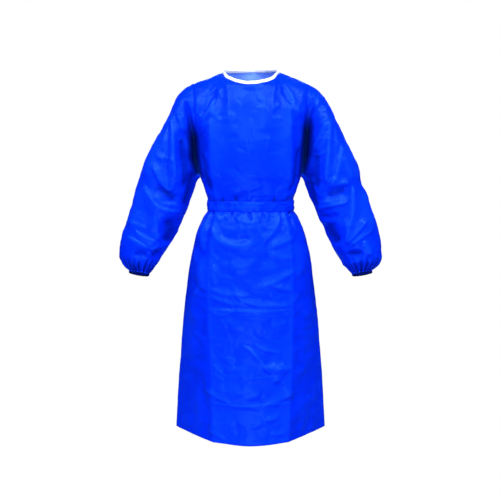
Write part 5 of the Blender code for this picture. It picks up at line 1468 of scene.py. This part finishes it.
def build_studio():
    """A pale floor, a soft blue surround that is white behind the gown, the soft lamps and the camera."""
    scene = bpy.context.scene
    corners = np.array([(-0.5, -0.5, 0), (0.5, -0.5, 0), (0.5, 0.5, 0), (-0.5, 0.5, 0)]) * FLOOR_SIZE
    corners[:, 2] = FLOOR_Z
    new_piece("studio_floor", corners, np.array([[0, 1, 2, 3]]), floor_finish(), False)
    scene.world = bpy.data.worlds.new("studio")
    scene.world.use_nodes = True
    tree = scene.world.node_tree
    seen = tree.nodes.new("ShaderNodeLightPath").outputs["Is Camera Ray"]
    join(tree, (mixed(tree, seen, DOME, SKY), tree.nodes["Background"].inputs["Color"]))
    for number, (at, size, watts, target, colour) in enumerate(LAMPS):
        lamp = bpy.data.lights.new(f"softbox_{number}", "AREA")
        lamp.shape = "ELLIPSE"
        lamp.size, lamp.size_y = size
        lamp.energy, lamp.color = watts, colour
        holder = bpy.data.objects.new(f"softbox_{number}", lamp)
        scene.collection.objects.link(holder)
        aimed(holder, at, target)
    camera = bpy.data.cameras.new("camera")
    camera.lens, camera.sensor_width = LENS, SENSOR
    scene.camera = bpy.data.objects.new("camera", camera)
    scene.collection.objects.link(scene.camera)
    aimed(scene.camera, CAMERA_AT, LOOKED_AT)
    scene.view_settings.view_transform = "Standard"


# The cut of each sheet: the width and length that it is cut from, its flat area where that isn't their
# product, how it is held, what it is sewn to or lies on, and the pieces that are on it.
PANELS = ("front_cloth", "back_left_cloth", "back_right_cloth")
CUTS = {
    "front_cloth": ((0.72, 1.28), 0.68, "hung", (), ()),
    "back_left_cloth": ((0.41, 1.29), 0.41, "hung", ("back_right_cloth",), ()),
    "back_right_cloth": ((0.41, 1.29), 0.41, "hung", ("front_cloth",), ()),
    "sleeve_left_cloth": ((0.72, 0.73), 0.31, "gathered", ("front_cloth", "back_left_cloth"), ()),
    "sleeve_right_cloth": ((0.72, 0.73), 0.31, "gathered", ("front_cloth", "back_right_cloth"), ()),
    "cuff_left_cloth": ((0.34, 0.01), None, "gathered", ("sleeve_left_cloth",), ()),
    "cuff_right_cloth": ((0.34, 0.01), None, "gathered", ("sleeve_right_cloth",), ()),
    "neck_binding_tape": ((0.56, 0.02), None, "folded", PANELS, ("neck_knot_tied",)),
    "neck_tail_left_tape": ((0.01, 0.13), None, "hung", ("neck_knot_tied",), ()),
    "neck_tail_right_tape": ((0.01, 0.105), None, "hung", ("neck_knot_tied",), ()),
    "belt_band": ((0.79, 0.035), None, "stretched", PANELS, ("belt_knot_tied",)),
    "belt_tail_left_cloth": ((0.03, 0.25), None, "hung", ("belt_knot_tied",), ()),
    "belt_tail_right_cloth": ((0.03, 0.22), None, "hung", ("belt_knot_tied",), ()),
}


def state_cuts():
    """Goes through the cuts, looks up the pieces that lie on each sheet and lists what it rests on; nothing is
    kept.
    """
    pieces = bpy.data.objects
    for name, (flat, area, held, rests_on, on_it) in CUTS.items():
        [pieces[other] for other in on_it]
        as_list(rests_on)


def main():
    """The cloth first, then what lies on it, then its surroundings."""
    fibres = bonded_fibres()
    cloth, tape = cloth_finish(fibres), tape_finish(fibres)
    panels = build_body(cloth)
    outer_back = panels[1][0]
    build_tie("neck", *build_binding(panels, tape), outer_back, tape)
    build_tie("belt", *build_belt(cloth), outer_back, cloth)
    state_cuts()
    build_studio()


main()
